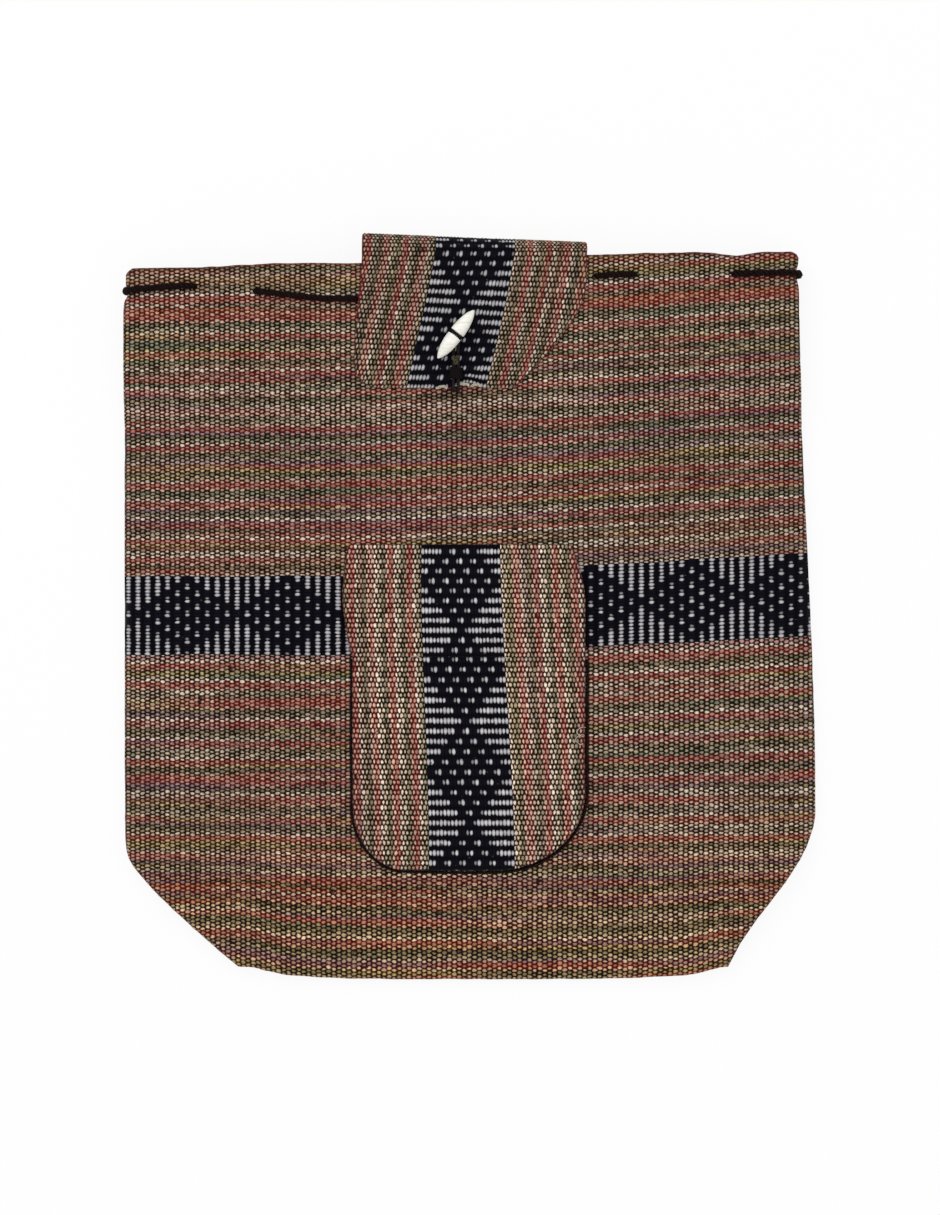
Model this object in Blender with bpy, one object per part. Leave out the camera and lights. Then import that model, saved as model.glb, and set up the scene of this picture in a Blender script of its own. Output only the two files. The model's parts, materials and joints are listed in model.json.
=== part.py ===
# Flat hand-woven cotton bag with a drawstring mouth, a flap closed by a bone toggle,
# a front pocket and two shoulder straps. It lies on its back: +Z is up out of the front,
# +Y runs towards the mouth, and the origin is under the middle of the bag.

import math

import bmesh
import bpy
from mathutils import Matrix, Vector

# Cloth and clearances
CLOTH = 0.0015            # body, pocket and back cloth
FLAP_CLOTH = 0.0022       # the flap is hemmed cloth, so it is thicker
STRAP_CLOTH = 0.0028      # strap: a folded band
GAP = 0.0003              # between pieces that touch

# Body outline
HALF_WIDTH = 0.1914       # at the left side, and at the right side low down
BOTTOM_Y = -0.206
MOUTH_Y = 0.191           # rim at the middle
RIGHT_LEAN = 0.010        # the right side leans in by this much towards the mouth
LEAN_START_Y = -0.110
MOUTH_TILT = 0.0045       # the rim is this much higher at the right, and lower at the left
LEFT_CORNER = (0.0717, 0.068, 1.15)    # boxed corner, seen flat: along X, along Y, power
RIGHT_CORNER = (0.054, 0.095, 1.6)
BACK_RIM_INSET = 0.0012   # the back ends this far short of the front
BOTTOM_BOW = 0.0045       # the bottom edge rises by this much at its ends
LEFT_PULL = 0.0050        # the drawstring pulls each side in at the rim
RIGHT_PULL = 0.0028
CORD_PULL_REACH = 0.010

# Body bulge
EDGE_ROLL = 0.007         # width of the rounded edge
EDGE_RISE = 0.005         # its height inside
EDGE_REACH = 0.045        # the front follows what the back lies on, this far in
BULGE = 0.0130            # further rise of the front at the middle
MOUTH_BULGE = 0.0120      # the same at the rim
WAVE_HEIGHT = 0.0005      # soft waves along the rim
WAVE_PITCH = 0.090
BODY_CELL = 0.019
BACK_CELL = 0.021
RIM_CELL = 0.006          # rows near the rim, where the drawstring pulls the sides in
RIM_ROWS = 0.030

# Drawstring: its line on the front is this far below the rim
CORD_BELOW_RIM = 0.0135
CORD_CLIMB = 0.006        # it climbs this much to the right
CORD_DIP = (-0.066, 0.010, 0.045)       # it dips here: x, depth, width
CORD_LEFT_DROP = (-0.150, 0.0045)       # and drops left of this x, by this much
CORD_RADIUS = 0.00225
CORD_GAP = 0.0006         # round the drawstring
CORD_TURN = 0.010         # its straight runs stop this far short of the sides and the knot
CORD_STEP = 0.0035        # between the points of its route
WRAP_TUCK = 0.006         # round a side it reaches this far under the back
SLIT_LENGTH = 0.0120
SLIT_WIDTH = 0.0058
SLIT_DEPTH = 0.016
KNOT_LENGTH = 0.012
KNOT_WIDTH = 0.0085
KNOT_HEIGHT = 0.0072

# Main flap
FLAP_ROOT_Y = MOUTH_Y - 0.031    # sewn to the back from here to the rim
FLAP_TURN = 0.0105        # reach of its turn past the rim, at its left end
FLAP_TURN_SLOPE = 0.005   # and how much less it is at the right
FLAP_LEFT = 0.0590        # half widths at the rim
FLAP_RIGHT = 0.0640
FLAP_END_Y = MOUTH_Y - 0.0710
FLAP_LEAN = 0.0060        # the left edge drifts outwards by this much
FLAP_LEFT_ROUND = 0.016
FLAP_RIGHT_ROUND = 0.044
FLAP_RIGHT_ROUND_Y = 0.056
FLAP_CELL = 0.008

# Toggle and its cords
TOGGLE_X = -0.0077
TOGGLE_Y = FLAP_END_Y + 0.0287
TOGGLE_LENGTH = 0.033
TOGGLE_RADIUS = 0.00415
TOGGLE_WAIST = 0.0022
TOGGLE_GROOVE = 0.0022    # width of the groove at the waist
TOGGLE_TURN = math.radians(53)
TIE_RADIUS = 0.0008
LOOP_RADIUS = 0.0010
LOOP_GAP = 0.0006         # between the loop and the flap
LOOP_ANCHOR_Y = FLAP_END_Y + 0.009      # the loop is sewn to the front here, under the flap
LOOP_LIFT_REACH = 0.020   # width of the lifted place in the flap edge
LOOP_LIFT_RAMP = 0.022    # and its length up the flap

# Pocket
POCKET_LEFT = 0.0660
POCKET_RIGHT = 0.0645
POCKET_TOP_Y = -0.010     # mouth, under the pocket flap
POCKET_BOTTOM_Y = -0.1468
POCKET_ROUND_Y = 0.036
POCKET_LEFT_ROUND = 0.026
POCKET_RIGHT_ROUND = 0.046
POCKET_ROLL = 0.006
POCKET_RISE = 0.0045
POCKET_BULGE = 0.0042
POCKET_CELL = 0.013
POCKET_FLAP_TOP_Y = 0.0345
POCKET_FLAP_END_Y = -0.027
POCKET_TUCK = 0.006       # the pocket starts to settle on the front this far above its mouth
POCKET_FLAP_DROP = 0.036  # length over which its flap comes down from the pocket
POCKET_FULL = 0.060       # height above its bottom at which the pocket is fully rounded
PIPING_RADIUS = 0.0011
PIPING_TOP_Y = -0.0285    # just under the pocket flap's end

# Straps, flat under the back
STRAP_WIDTH = 0.045
STRAP_TOP = (0.040, 0.128)
STRAP_END = (0.122, -0.140)
LIFT_MARGIN = 0.027       # the back panel clears what it lies on by this much all round
LIFT_RAMP = 0.030

# Back panel slits for the drawstring
BACK_SLIT_X = 0.140
BACK_CORD_Y = MOUTH_Y - 0.039    # the drawstring's run inside the back
BACK_CORD_BEND = 0.042    # length of its bend on the way to the side


def smooth(t):
    t = max(0.0, min(1.0, t))
    return t * t * (3 - 2 * t)


def steps(start, end, cell):
    """Even values from start to end, at most a cell apart, without the start."""
    count = max(1, math.ceil(abs(end - start) / cell - 1e-6))
    return [start + (end - start) * i / count for i in range(1, count + 1)]


def graded(width, roll, cell):
    """Distances across a width, close together in the rolled edges."""
    edge = [0.0, 0.12 * roll, 0.4 * roll, roll]
    middle = steps(roll, width - roll, cell)
    return edge + middle + [width - d for d in reversed(edge[:-1])]


def roll_height(distance, roll, rise):
    """Quarter ellipse from the edge inwards."""
    reach = max(0.0, min(1.0, distance / roll))
    return rise * math.sqrt(1 - (1 - reach) ** 2)


# Body

def corner_cut(y, corner):
    width, height, power = corner
    return width * max(0.0, (BOTTOM_Y + height - y) / height) ** power


def cord_pull(y, side, depth):
    return depth * math.exp(-((y - rim_cord_y(side * HALF_WIDTH)) / CORD_PULL_REACH) ** 2)


def body_left(y):
    return -HALF_WIDTH + corner_cut(y, LEFT_CORNER) + cord_pull(y, -1, LEFT_PULL)


def body_right(y):
    lean = RIGHT_LEAN * smooth((y - LEAN_START_Y) / (MOUTH_Y - LEAN_START_Y))
    return HALF_WIDTH - lean - corner_cut(y, RIGHT_CORNER) - cord_pull(y, 1, RIGHT_PULL)


def rim_y(x):
    return MOUTH_Y + MOUTH_TILT * math.sin(0.5 * math.pi * max(-1.0, min(1.0, x / HALF_WIDTH)))


def rim_cord_y(x):
    """Line of the drawstring on the front: it dips left of the flap and at the left side."""
    place, depth, width = CORD_DIP
    dip = depth * math.exp(-((x - place) / width) ** 2)
    start, drop = CORD_LEFT_DROP
    dip += drop * smooth((start - x) / (start + HALF_WIDTH))
    climb = CORD_CLIMB * smooth((x + HALF_WIDTH) / (2 * HALF_WIDTH))
    return MOUTH_Y - CORD_BELOW_RIM + climb - dip


def body_rows(shares, mouth_inset):
    """Rows of (x, y) over the body's outline, bottom row first."""
    height = MOUTH_Y - BOTTOM_Y
    levels = [0.0, 0.12 * EDGE_ROLL, 0.4 * EDGE_ROLL, EDGE_ROLL]
    levels += steps(EDGE_ROLL, height - RIM_ROWS, BODY_CELL)
    levels += steps(height - RIM_ROWS, height, RIM_CELL)
    rows = []
    for level in levels:
        y = BOTTOM_Y + level
        top_share = smooth((level - 0.6 * height) / (0.4 * height))
        bow = BOTTOM_BOW * (1 - smooth(level / (0.25 * height)))
        left = body_left(y + bow - MOUTH_TILT * top_share)
        right = body_right(y + bow + MOUTH_TILT * top_share)
        row = []
        for share in shares:
            x = left + (right - left) * share
            tilt = (rim_y(x) - MOUTH_Y - mouth_inset) * top_share
            row.append((x, y + bow * (2 * share - 1) ** 4 + tilt))
        rows.append(row)
    return rows


def front_rows():
    width = 2 * HALF_WIDTH
    return body_rows([d / width for d in graded(width, EDGE_ROLL, BODY_CELL)], 0.0)


def back_rows():
    return body_rows([0.0] + steps(0.0, 1.0, BACK_CELL / (2 * HALF_WIDTH)), BACK_RIM_INSET)


def edge_distance(x, y):
    half = HALF_WIDTH - (LEFT_CORNER if x < 0 else RIGHT_CORNER)[0]
    low = y - BOTTOM_Y - BOTTOM_BOW * min(1.0, abs(x) / half) ** 4
    return max(0.0, min(x - body_left(y), body_right(y) - x, low))


def lift_zone(distance, height):
    return height * (1 - smooth((distance - LIFT_MARGIN) / LIFT_RAMP))


def strap_distance(x, y):
    """From the straps' edges, which mirror each other."""
    start = Vector(STRAP_TOP)
    along = Vector(STRAP_END) - start
    offset = Vector((abs(x), y)) - start
    share = max(0.0, min(1.0, offset.dot(along) / along.length_squared))
    return max(0.0, (offset - along * share).length - STRAP_WIDTH / 2)


def back_lift(x, y):
    """Height of the back panel's underside, over the straps and the drawstring."""
    strap = lift_zone(strap_distance(x, y), STRAP_CLOTH + GAP)
    rim = lift_zone(max(0.0, BACK_CORD_Y - y), 2 * CORD_RADIUS + CORD_GAP + GAP)
    return max(strap, rim)


def back_top(x, y):
    return back_lift(x, y) + CLOTH


def front_inner(x, y):
    distance = edge_distance(x, y)
    near_edge = math.exp(-distance / EDGE_REACH)
    across = min(1.0, abs(x) / HALF_WIDTH)
    up = (y - BOTTOM_Y) / (MOUTH_Y - BOTTOM_Y)
    bulge = BULGE * smooth(up / 0.4) + (MOUTH_BULGE - BULGE) * smooth((up - 0.62) / 0.38)
    waves = WAVE_HEIGHT * math.sin(2 * math.pi * x / WAVE_PITCH) * smooth((up - 0.75) / 0.25)
    waves *= smooth(distance / 0.030)
    cavity = roll_height(distance, EDGE_ROLL, EDGE_RISE) + bulge * (1 - across ** 3) + waves
    return CLOTH + GAP + back_lift(x, y) * near_edge + cavity


def front_outer(x, y):
    return front_inner(x, y) + CLOTH


# Pocket

def corner_inset(y, width):
    """How far a rounded lower corner of the pocket draws in."""
    share = max(0.0, min(1.0, (POCKET_BOTTOM_Y + POCKET_ROUND_Y - y) / POCKET_ROUND_Y))
    return width * (1 - math.sqrt(max(0.0, 1 - share * share)))


def pocket_left(y):
    return -POCKET_LEFT + corner_inset(y, POCKET_LEFT_ROUND)


def pocket_right(y):
    return POCKET_RIGHT - corner_inset(y, POCKET_RIGHT_ROUND)


def pocket_rows(low, high):
    """Rows of (x, y) over the pocket's outline between two heights."""
    turn = POCKET_BOTTOM_Y + POCKET_ROUND_Y
    levels = [low]
    if low < turn:
        angles = [math.radians(a) for a in (13, 26, 40, 56, 73, 90)]
        levels += [POCKET_BOTTOM_Y + POCKET_ROUND_Y * (1 - math.cos(a)) for a in angles]
    levels += steps(levels[-1], high, POCKET_CELL)
    width = POCKET_LEFT + POCKET_RIGHT
    shares = [d / width for d in graded(width, POCKET_ROLL, POCKET_CELL)]
    return [[(pocket_left(y) + (pocket_right(y) - pocket_left(y)) * share, y) for share in shares]
            for y in levels]


def pocket_inner(x, y):
    """The pocket cloth's inner face, over the front panel."""
    distance = max(0.0, min(x - pocket_left(y), pocket_right(y) - x, y - POCKET_BOTTOM_Y))
    centre = (POCKET_RIGHT - POCKET_LEFT) / 2
    across = min(1.0, abs(x - centre) / ((POCKET_LEFT + POCKET_RIGHT) / 2))
    up = smooth((y - POCKET_BOTTOM_Y) / POCKET_FULL)
    height = roll_height(distance, POCKET_ROLL, POCKET_RISE) + POCKET_BULGE * up * (1 - across ** 2)
    start = POCKET_TOP_Y + POCKET_TUCK
    fade = 1 - smooth((y - start) / (POCKET_FLAP_TOP_Y - start))
    return front_outer(x, y) + GAP + height * fade


def pocket_outer(x, y):
    return pocket_inner(x, y) + CLOTH


def pocket_flap_inner(x, y):
    over_pocket = CLOTH * (1 - smooth((y - POCKET_TOP_Y - POCKET_TUCK) / POCKET_FLAP_DROP))
    return pocket_inner(x, y) + over_pocket + GAP


def pocket_flap_outer(x, y):
    return pocket_flap_inner(x, y) + CLOTH


# Main flap

def flap_left(y):
    down = max(0.0, min(1.0, (MOUTH_Y - y) / (MOUTH_Y - FLAP_END_Y)))
    share = max(0.0, min(1.0, (FLAP_END_Y + FLAP_LEFT_ROUND - y) / FLAP_LEFT_ROUND))
    return -FLAP_LEFT - FLAP_LEAN * down + FLAP_LEFT_ROUND * (1 - math.sqrt(1 - share * share))


def flap_right(y):
    share = max(0.0, min(1.0, (FLAP_END_Y + FLAP_RIGHT_ROUND_Y - y) / FLAP_RIGHT_ROUND_Y))
    return FLAP_RIGHT - FLAP_RIGHT_ROUND * (1 - math.sqrt(1 - share * share))


def loop_lift(x, y):
    """The flap's lower edge rides over the two strands of the closing loop."""
    across = math.exp(-((x - TOGGLE_X) / LOOP_LIFT_REACH) ** 2)
    down = 1 - smooth((y - LOOP_ANCHOR_Y) / LOOP_LIFT_RAMP)
    return (2 * LOOP_RADIUS + LOOP_GAP + GAP) * across * down


def flap_inner(x, y):
    return front_outer(x, y) + GAP + loop_lift(x, y)


def flap_outer(x, y):
    return flap_inner(x, y) + FLAP_CLOTH


def flap_sections():
    """Pairs of (inner, outer) point rows along the flap, from its root under the back."""
    shares = [0.0] + steps(0.0, 1.0, 0.1)
    rim = MOUTH_Y + MOUTH_TILT
    sections = []
    width = FLAP_LEFT + FLAP_RIGHT
    for y in [FLAP_ROOT_Y] + steps(FLAP_ROOT_Y, rim, FLAP_CELL):
        row = [-FLAP_LEFT + width * share for share in shares]
        sections.append(([(x, y, back_lift(x, y) - GAP) for x in row],
                         [(x, y, back_lift(x, y) - GAP - FLAP_CLOTH) for x in row]))
    for turn in steps(0.0, math.pi, math.pi / 8)[:-1]:
        inner = []
        outer = []
        for share in shares:
            x = -FLAP_LEFT + width * share
            low = back_lift(x, rim) - GAP - FLAP_CLOTH
            middle = (low + flap_outer(x, rim)) / 2
            rise = (middle - low) * math.cos(turn)
            reach = FLAP_TURN - FLAP_TURN_SLOPE * share
            outer.append((x, rim + reach * math.sin(turn), middle - rise))
            inner_rise = (middle - low - FLAP_CLOTH) * math.cos(turn)
            inner.append((x, rim + (reach - FLAP_CLOTH) * math.sin(turn), middle - inner_rise))
        sections.append((inner, outer))
    levels = [rim] + steps(rim, FLAP_END_Y + FLAP_LEFT_ROUND, FLAP_CELL)
    rounds = [math.radians(a) for a in (72, 54, 36, 18, 0)]
    levels += [FLAP_END_Y + FLAP_LEFT_ROUND * (1 - math.cos(a)) for a in rounds]
    for y in levels:
        row = [flap_left(y) + (flap_right(y) - flap_left(y)) * share for share in shares]
        sections.append(([(x, y, flap_inner(x, y)) for x in row],
                         [(x, y, flap_outer(x, y)) for x in row]))
    return sections


# Making objects

def material(name, colour, roughness):
    made = bpy.data.materials.new(name)
    made.use_nodes = True
    shader = made.node_tree.nodes["Principled BSDF"]
    shader.inputs["Base Color"].default_value = (*colour, 1)
    shader.inputs["Roughness"].default_value = roughness
    shader.inputs["Metallic"].default_value = 0
    return made


def add_object(name, mesh, look):
    made = bpy.data.objects.new(name, mesh)
    made.data.materials.append(look)
    bpy.context.scene.collection.objects.link(made)
    return made


def finish_mesh(name, shape, look):
    bmesh.ops.recalc_face_normals(shape, faces=shape.faces)
    mesh = bpy.data.meshes.new(name)
    shape.to_mesh(mesh)
    shape.free()
    made = add_object(name, mesh, look)
    mesh.shade_smooth()
    mesh.set_sharp_from_angle(angle=math.radians(40))
    return made


def shell(name, low_rows, high_rows, look):
    """Closed sheet between two matching grids of points."""
    shape = bmesh.new()
    low = [[shape.verts.new(point) for point in row] for row in low_rows]
    high = [[shape.verts.new(point) for point in row] for row in high_rows]
    last_row = len(low) - 1
    last = len(low[0]) - 1
    for j in range(last_row):
        for i in range(last):
            shape.faces.new((high[j][i], high[j][i + 1], high[j + 1][i + 1], high[j + 1][i]))
            shape.faces.new((low[j + 1][i], low[j + 1][i + 1], low[j][i + 1], low[j][i]))
    for j in range(last_row):
        shape.faces.new((high[j][0], high[j + 1][0], low[j + 1][0], low[j][0]))
        shape.faces.new((low[j][last], low[j + 1][last], high[j + 1][last], high[j][last]))
    for i in range(last):
        shape.faces.new((low[0][i], low[0][i + 1], high[0][i + 1], high[0][i]))
        shape.faces.new((high[last_row][i], high[last_row][i + 1],
                         low[last_row][i + 1], low[last_row][i]))
    return finish_mesh(name, shape, look)


def sheet(name, rows, low, high, look):
    """Cloth between two height functions over rows of (x, y)."""
    return shell(name, [[(x, y, low(x, y)) for x, y in row] for row in rows],
                 [[(x, y, high(x, y)) for x, y in row] for row in rows], look)


def thinned(points, tolerance):
    """Leaves out points that lie on the line between their neighbours."""
    start, end = points[0], points[-1]
    along = end - start
    if len(points) < 3:
        return points
    far = 0
    furthest = 0.0
    for i, point in enumerate(points[1:-1], 1):
        share = max(0.0, min(1.0, (point - start).dot(along) / max(along.length_squared, 1e-12)))
        distance = (point - start - along * share).length
        if distance > furthest:
            far = i
            furthest = distance
    if furthest < tolerance and along.length < 0.030:
        return [start, end]
    if far == 0:
        far = len(points) // 2
    return thinned(points[:far + 1], tolerance)[:-1] + thinned(points[far:], tolerance)


def smooth_route(points, tolerance):
    """Points along a Catmull-Rom curve through the route's points, closer in its bends."""
    points = [Vector(p) for p in points]
    ends = [2 * points[0] - points[1]] + points + [2 * points[-1] - points[-2]]
    fine = []
    for a, b, c, d in zip(ends, ends[1:], ends[2:], ends[3:]):
        for i in range(8):
            t = i / 8
            fine.append(0.5 * (2 * b + (c - a) * t + (2 * a - 5 * b + 4 * c - d) * t * t
                               + (3 * b - a - 3 * c + d) * t ** 3))
    fine.append(points[-1])
    return thinned(fine, tolerance)


def cord(name, points, radius, look, resolution=2):
    curve = bpy.data.curves.new(name, "CURVE")
    curve.dimensions = "3D"
    curve.bevel_depth = radius
    curve.bevel_resolution = resolution
    curve.use_fill_caps = True
    line = curve.splines.new("POLY")
    line.points.add(len(points) - 1)
    for place, point in zip(line.points, points):
        place.co = (*point, 1)
    return add_object(name, curve, look)


def helper(name, shape, target, operation):
    """Hidden mesh that a Boolean cuts from the target or joins to it."""
    mesh = bpy.data.meshes.new(name)
    shape.to_mesh(mesh)
    shape.free()
    made = bpy.data.objects.new(name, mesh)
    made.hide_render = True
    made.display_type = "WIRE"
    bpy.context.scene.collection.objects.link(made)
    change = target.modifiers.new(name, "BOOLEAN")
    change.operation = operation
    change.solver = "EXACT"
    change.object = made
    return made


def cut_slits(panel, places):
    """Slits for the drawstring: (x, y, z, direction) each."""
    shape = bmesh.new()
    for x, y, z, direction in places:
        box = bmesh.ops.create_cube(shape, size=1)["verts"]
        bmesh.ops.scale(shape, vec=(SLIT_LENGTH, SLIT_WIDTH, SLIT_DEPTH), verts=box)
        place = Matrix.Translation((x, y, z)) @ Matrix.Rotation(direction, 4, "Z")
        bmesh.ops.transform(shape, matrix=place, verts=box)
    helper(panel.name + "_slits", shape, panel, "DIFFERENCE")


# Drawstring: it passes in and out of the front panel at these slits, from left to right
FRONT_SLITS = [-0.160, -0.112, -0.0700, 0.0710, 0.0885, 0.147]


def slope_along(line, x):
    return math.atan2(line(x + 0.001) - line(x - 0.001), 0.002)


def front_cord_height(x, y):
    """Above the front panel or under it, changing over at each slit."""
    above = 1.0
    for slit in FRONT_SLITS:
        cross = smooth((x - slit) / SLIT_LENGTH + 0.5)
        above += cross * (-1 if FRONT_SLITS.index(slit) % 2 == 0 else 1)
    outside = front_outer(x, y) + CORD_GAP + CORD_RADIUS
    inside = front_inner(x, y) - CORD_GAP - CORD_RADIUS
    return inside + (outside - inside) * above


def back_cord_point(side, x):
    """Under the back panel outside its slit, above it inside."""
    inside = 1 - smooth((x - BACK_SLIT_X) / SLIT_LENGTH + 0.5)
    outer_y = rim_cord_y(side * HALF_WIDTH)
    bend = smooth((x - BACK_SLIT_X + SLIT_LENGTH / 2) / BACK_CORD_BEND)
    y = BACK_CORD_Y + (outer_y - BACK_CORD_Y) * bend
    high = back_top(side * x, y) + CORD_GAP + CORD_RADIUS
    low = CORD_RADIUS + GAP
    return (side * x, y, low + (high - low) * inside)


def side_edge(side):
    """Half width of the bag where the drawstring goes round its side."""
    y = rim_cord_y(side * HALF_WIDTH)
    return abs(body_left(y) if side < 0 else body_right(y))


def side_wrap(side):
    """Round the side of the bag, from the front to the back."""
    y = rim_cord_y(side * HALF_WIDTH)
    edge = side_edge(side)
    off = CORD_RADIUS + CORD_GAP
    floor = CORD_RADIUS + GAP
    low = back_lift(side * edge, y)
    high = front_outer(side * edge, y)
    top = front_outer(side * (edge - EDGE_ROLL), y) + off
    return [(side * (edge - 0.4 * EDGE_ROLL), y, top + GAP),
            (side * (edge + 0.6 * off), y, 0.5 * (high + top) + 0.3 * off),
            (side * (edge + off), y, 0.5 * (low + high)),
            (side * (edge + 0.75 * off), y, low - 0.75 * off),
            (side * (edge - WRAP_TUCK), y, floor)]


def drawstring_route():
    """From the knot in the mouth, round the right side, through the back, and home."""
    knot_x, knot_y, knot_z = knot_place()
    reach = KNOT_LENGTH / 2 + GAP
    left = []
    right = []
    for x in steps(-side_edge(-1), side_edge(1), CORD_STEP):
        y = rim_cord_y(x)
        point = (x, y, front_cord_height(x, y))
        if -side_edge(-1) + CORD_TURN < x < knot_x - reach - CORD_TURN:
            left.append(point)
        if knot_x + reach + CORD_TURN < x < side_edge(1) - CORD_TURN:
            right.append(point)
    back = []
    other = []
    for x in steps(side_edge(1) - CORD_TURN, 0.0, CORD_STEP):
        back.append(back_cord_point(1, x))
    for x in steps(side_edge(-1) - CORD_TURN, 0.0, CORD_STEP):
        other.append(back_cord_point(-1, x))
    start = [(knot_x + reach, knot_y, knot_z), (knot_x + reach + CORD_STEP, knot_y, knot_z)]
    end = [(knot_x - reach - CORD_STEP, knot_y, knot_z), (knot_x - reach, knot_y, knot_z)]
    back = side_wrap(1) + back
    other = side_wrap(-1) + other[:-1]
    return start + right + back + other[::-1] + left + end


def knot_place():
    y = rim_cord_y(0)
    return (0.0, y, front_inner(0, y) - 2 * GAP - KNOT_HEIGHT / 2)


def make_knot(look):
    shape = bmesh.new()
    bmesh.ops.create_uvsphere(shape, u_segments=12, v_segments=8, radius=0.5)
    bmesh.ops.rotate(shape, matrix=Matrix.Rotation(math.pi / 2, 3, "Y"), verts=shape.verts)
    bmesh.ops.scale(shape, vec=(KNOT_LENGTH, KNOT_WIDTH, KNOT_HEIGHT), verts=shape.verts)
    bmesh.ops.translate(shape, vec=knot_place(), verts=shape.verts)
    return finish_mesh("drawstring_knot", shape, look)


def toggle_height():
    """Height of the toggle's axis: over the flap and the strands of the loop."""
    return flap_outer(TOGGLE_X, TOGGLE_Y) + LOOP_GAP + 2 * LOOP_RADIUS + 2 * GAP + TOGGLE_RADIUS


def make_toggle(look):
    """Spindle turned about its length, with a groove at the waist."""
    half = TOGGLE_LENGTH / 2
    groove = TOGGLE_GROOVE / 2
    profile = [(groove, TOGGLE_WAIST), (groove + 0.0002, TOGGLE_RADIUS),
               (0.26 * half, 0.98 * TOGGLE_RADIUS), (0.47 * half, 0.86 * TOGGLE_RADIUS),
               (0.67 * half, 0.66 * TOGGLE_RADIUS), (0.84 * half, 0.42 * TOGGLE_RADIUS),
               (0.96 * half, 0.22 * TOGGLE_RADIUS), (half, 0.0)]
    line = [(-a, r) for a, r in reversed(profile)] + profile
    shape = bmesh.new()
    verts = [shape.verts.new((a, 0, r)) for a, r in line]
    edges = [shape.edges.new(pair) for pair in zip(verts, verts[1:])]
    bmesh.ops.spin(shape, geom=verts + edges, cent=(0, 0, 0), axis=(1, 0, 0),
                   angle=2 * math.pi, steps=16, use_merge=True)
    bmesh.ops.remove_doubles(shape, verts=shape.verts, dist=1e-6)
    made = finish_mesh("toggle", shape, look)
    made.rotation_euler = (0, 0, TOGGLE_TURN)
    made.location = (TOGGLE_X, TOGGLE_Y, toggle_height())
    return made


def make_toggle_tie(look):
    """Cord round the toggle's waist, with a short stem down to the flap."""
    ring = TOGGLE_WAIST + GAP + TIE_RADIUS
    shape = bmesh.new()
    bottom = flap_outer(TOGGLE_X, TOGGLE_Y) + GAP - toggle_height()
    circle = bmesh.ops.create_circle(shape, radius=TIE_RADIUS, segments=8)["verts"]
    bmesh.ops.rotate(shape, matrix=Matrix.Rotation(math.pi / 2, 3, "X"), verts=circle)
    bmesh.ops.translate(shape, vec=(ring, 0, 0), verts=circle)
    bmesh.ops.spin(shape, geom=shape.verts[:] + shape.edges[:], cent=(0, 0, 0), axis=(0, 0, 1),
                   angle=2 * math.pi, steps=12, use_merge=True)
    bmesh.ops.rotate(shape, matrix=Matrix.Rotation(math.pi / 2, 3, "Y"), verts=shape.verts)
    made = finish_mesh("toggle_tie", shape, look)
    stem = bmesh.new()
    bmesh.ops.create_cone(stem, cap_ends=True, segments=8, radius1=TIE_RADIUS,
                          radius2=TIE_RADIUS, depth=-bottom - ring)
    bmesh.ops.translate(stem, vec=(0, 0, (bottom - ring) / 2), verts=stem.verts)
    joined = helper("toggle_stem", stem, made, "UNION")
    for piece in (made, joined):
        piece.rotation_euler = (0, 0, TOGGLE_TURN)
        piece.location = (TOGGLE_X, TOGGLE_Y, toggle_height())
    return made


def make_loop(look):
    """Two strands from the front, round the flap's lower edge, to the toggle's stem."""
    side = LOOP_RADIUS + GAP
    ring = TIE_RADIUS + GAP + LOOP_RADIUS
    off = LOOP_RADIUS + LOOP_GAP
    x = TOGGLE_X
    edge = FLAP_END_Y
    strand = [(y, front_outer(x, y) + GAP + LOOP_RADIUS)
              for y in (LOOP_ANCHOR_Y, LOOP_ANCHOR_Y - 0.004, edge + GAP)]
    low = flap_inner(x, edge)
    high = flap_outer(x, edge)
    strand += [(edge - 0.8 * off, low - 0.75 * off), (edge - 1.1 * off, (low + high) / 2),
               (edge - 0.8 * off, high + 0.75 * off)]
    for share in (0.05, 0.2, 0.4, 0.6, 0.8):
        y = edge + (TOGGLE_Y - ring - edge) * share
        strand.append((y, flap_outer(x, y) + LOOP_GAP + LOOP_RADIUS))
    top = flap_outer(x, TOGGLE_Y) + LOOP_GAP + LOOP_RADIUS
    right = [(x + side, y, z) for y, z in strand]
    turn = [(x + ring * math.cos(a), TOGGLE_Y + ring * math.sin(a), top)
            for a in [math.radians(d) for d in (-25, 25, 90, 155, 205)]]
    left = [(x - side, y, z) for y, z in reversed(strand)]
    return cord("closing_loop", smooth_route(right + turn + left, 0.0001), LOOP_RADIUS, look)


def make_piping(look):
    """Thin cord sewn round the pocket's sides and bottom."""
    off = PIPING_RADIUS + GAP
    points = []
    turn = POCKET_BOTTOM_Y + POCKET_ROUND_Y
    down = [PIPING_TOP_Y] + steps(PIPING_TOP_Y, turn, 0.020)
    for y in down:
        points.append((-POCKET_LEFT - off, y))
    for a in (22, 45, 67, 90):
        a = math.radians(a)
        points.append((-POCKET_LEFT + POCKET_LEFT_ROUND - (POCKET_LEFT_ROUND + off) * math.cos(a),
                       turn - (POCKET_ROUND_Y + off) * math.sin(a)))
    points.append(((POCKET_RIGHT - POCKET_LEFT) / 2 - 0.010, POCKET_BOTTOM_Y - off))
    for a in (90, 67, 45, 22):
        a = math.radians(a)
        points.append((POCKET_RIGHT - POCKET_RIGHT_ROUND + (POCKET_RIGHT_ROUND + off) * math.cos(a),
                       turn - (POCKET_ROUND_Y + off) * math.sin(a)))
    for y in reversed(down):
        points.append((POCKET_RIGHT + off, y))
    points = [(x, y, front_outer(x, y) + GAP + PIPING_RADIUS) for x, y in points]
    route = smooth_route(points, 0.00012)
    return cord("pocket_piping", route, PIPING_RADIUS, look)


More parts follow.
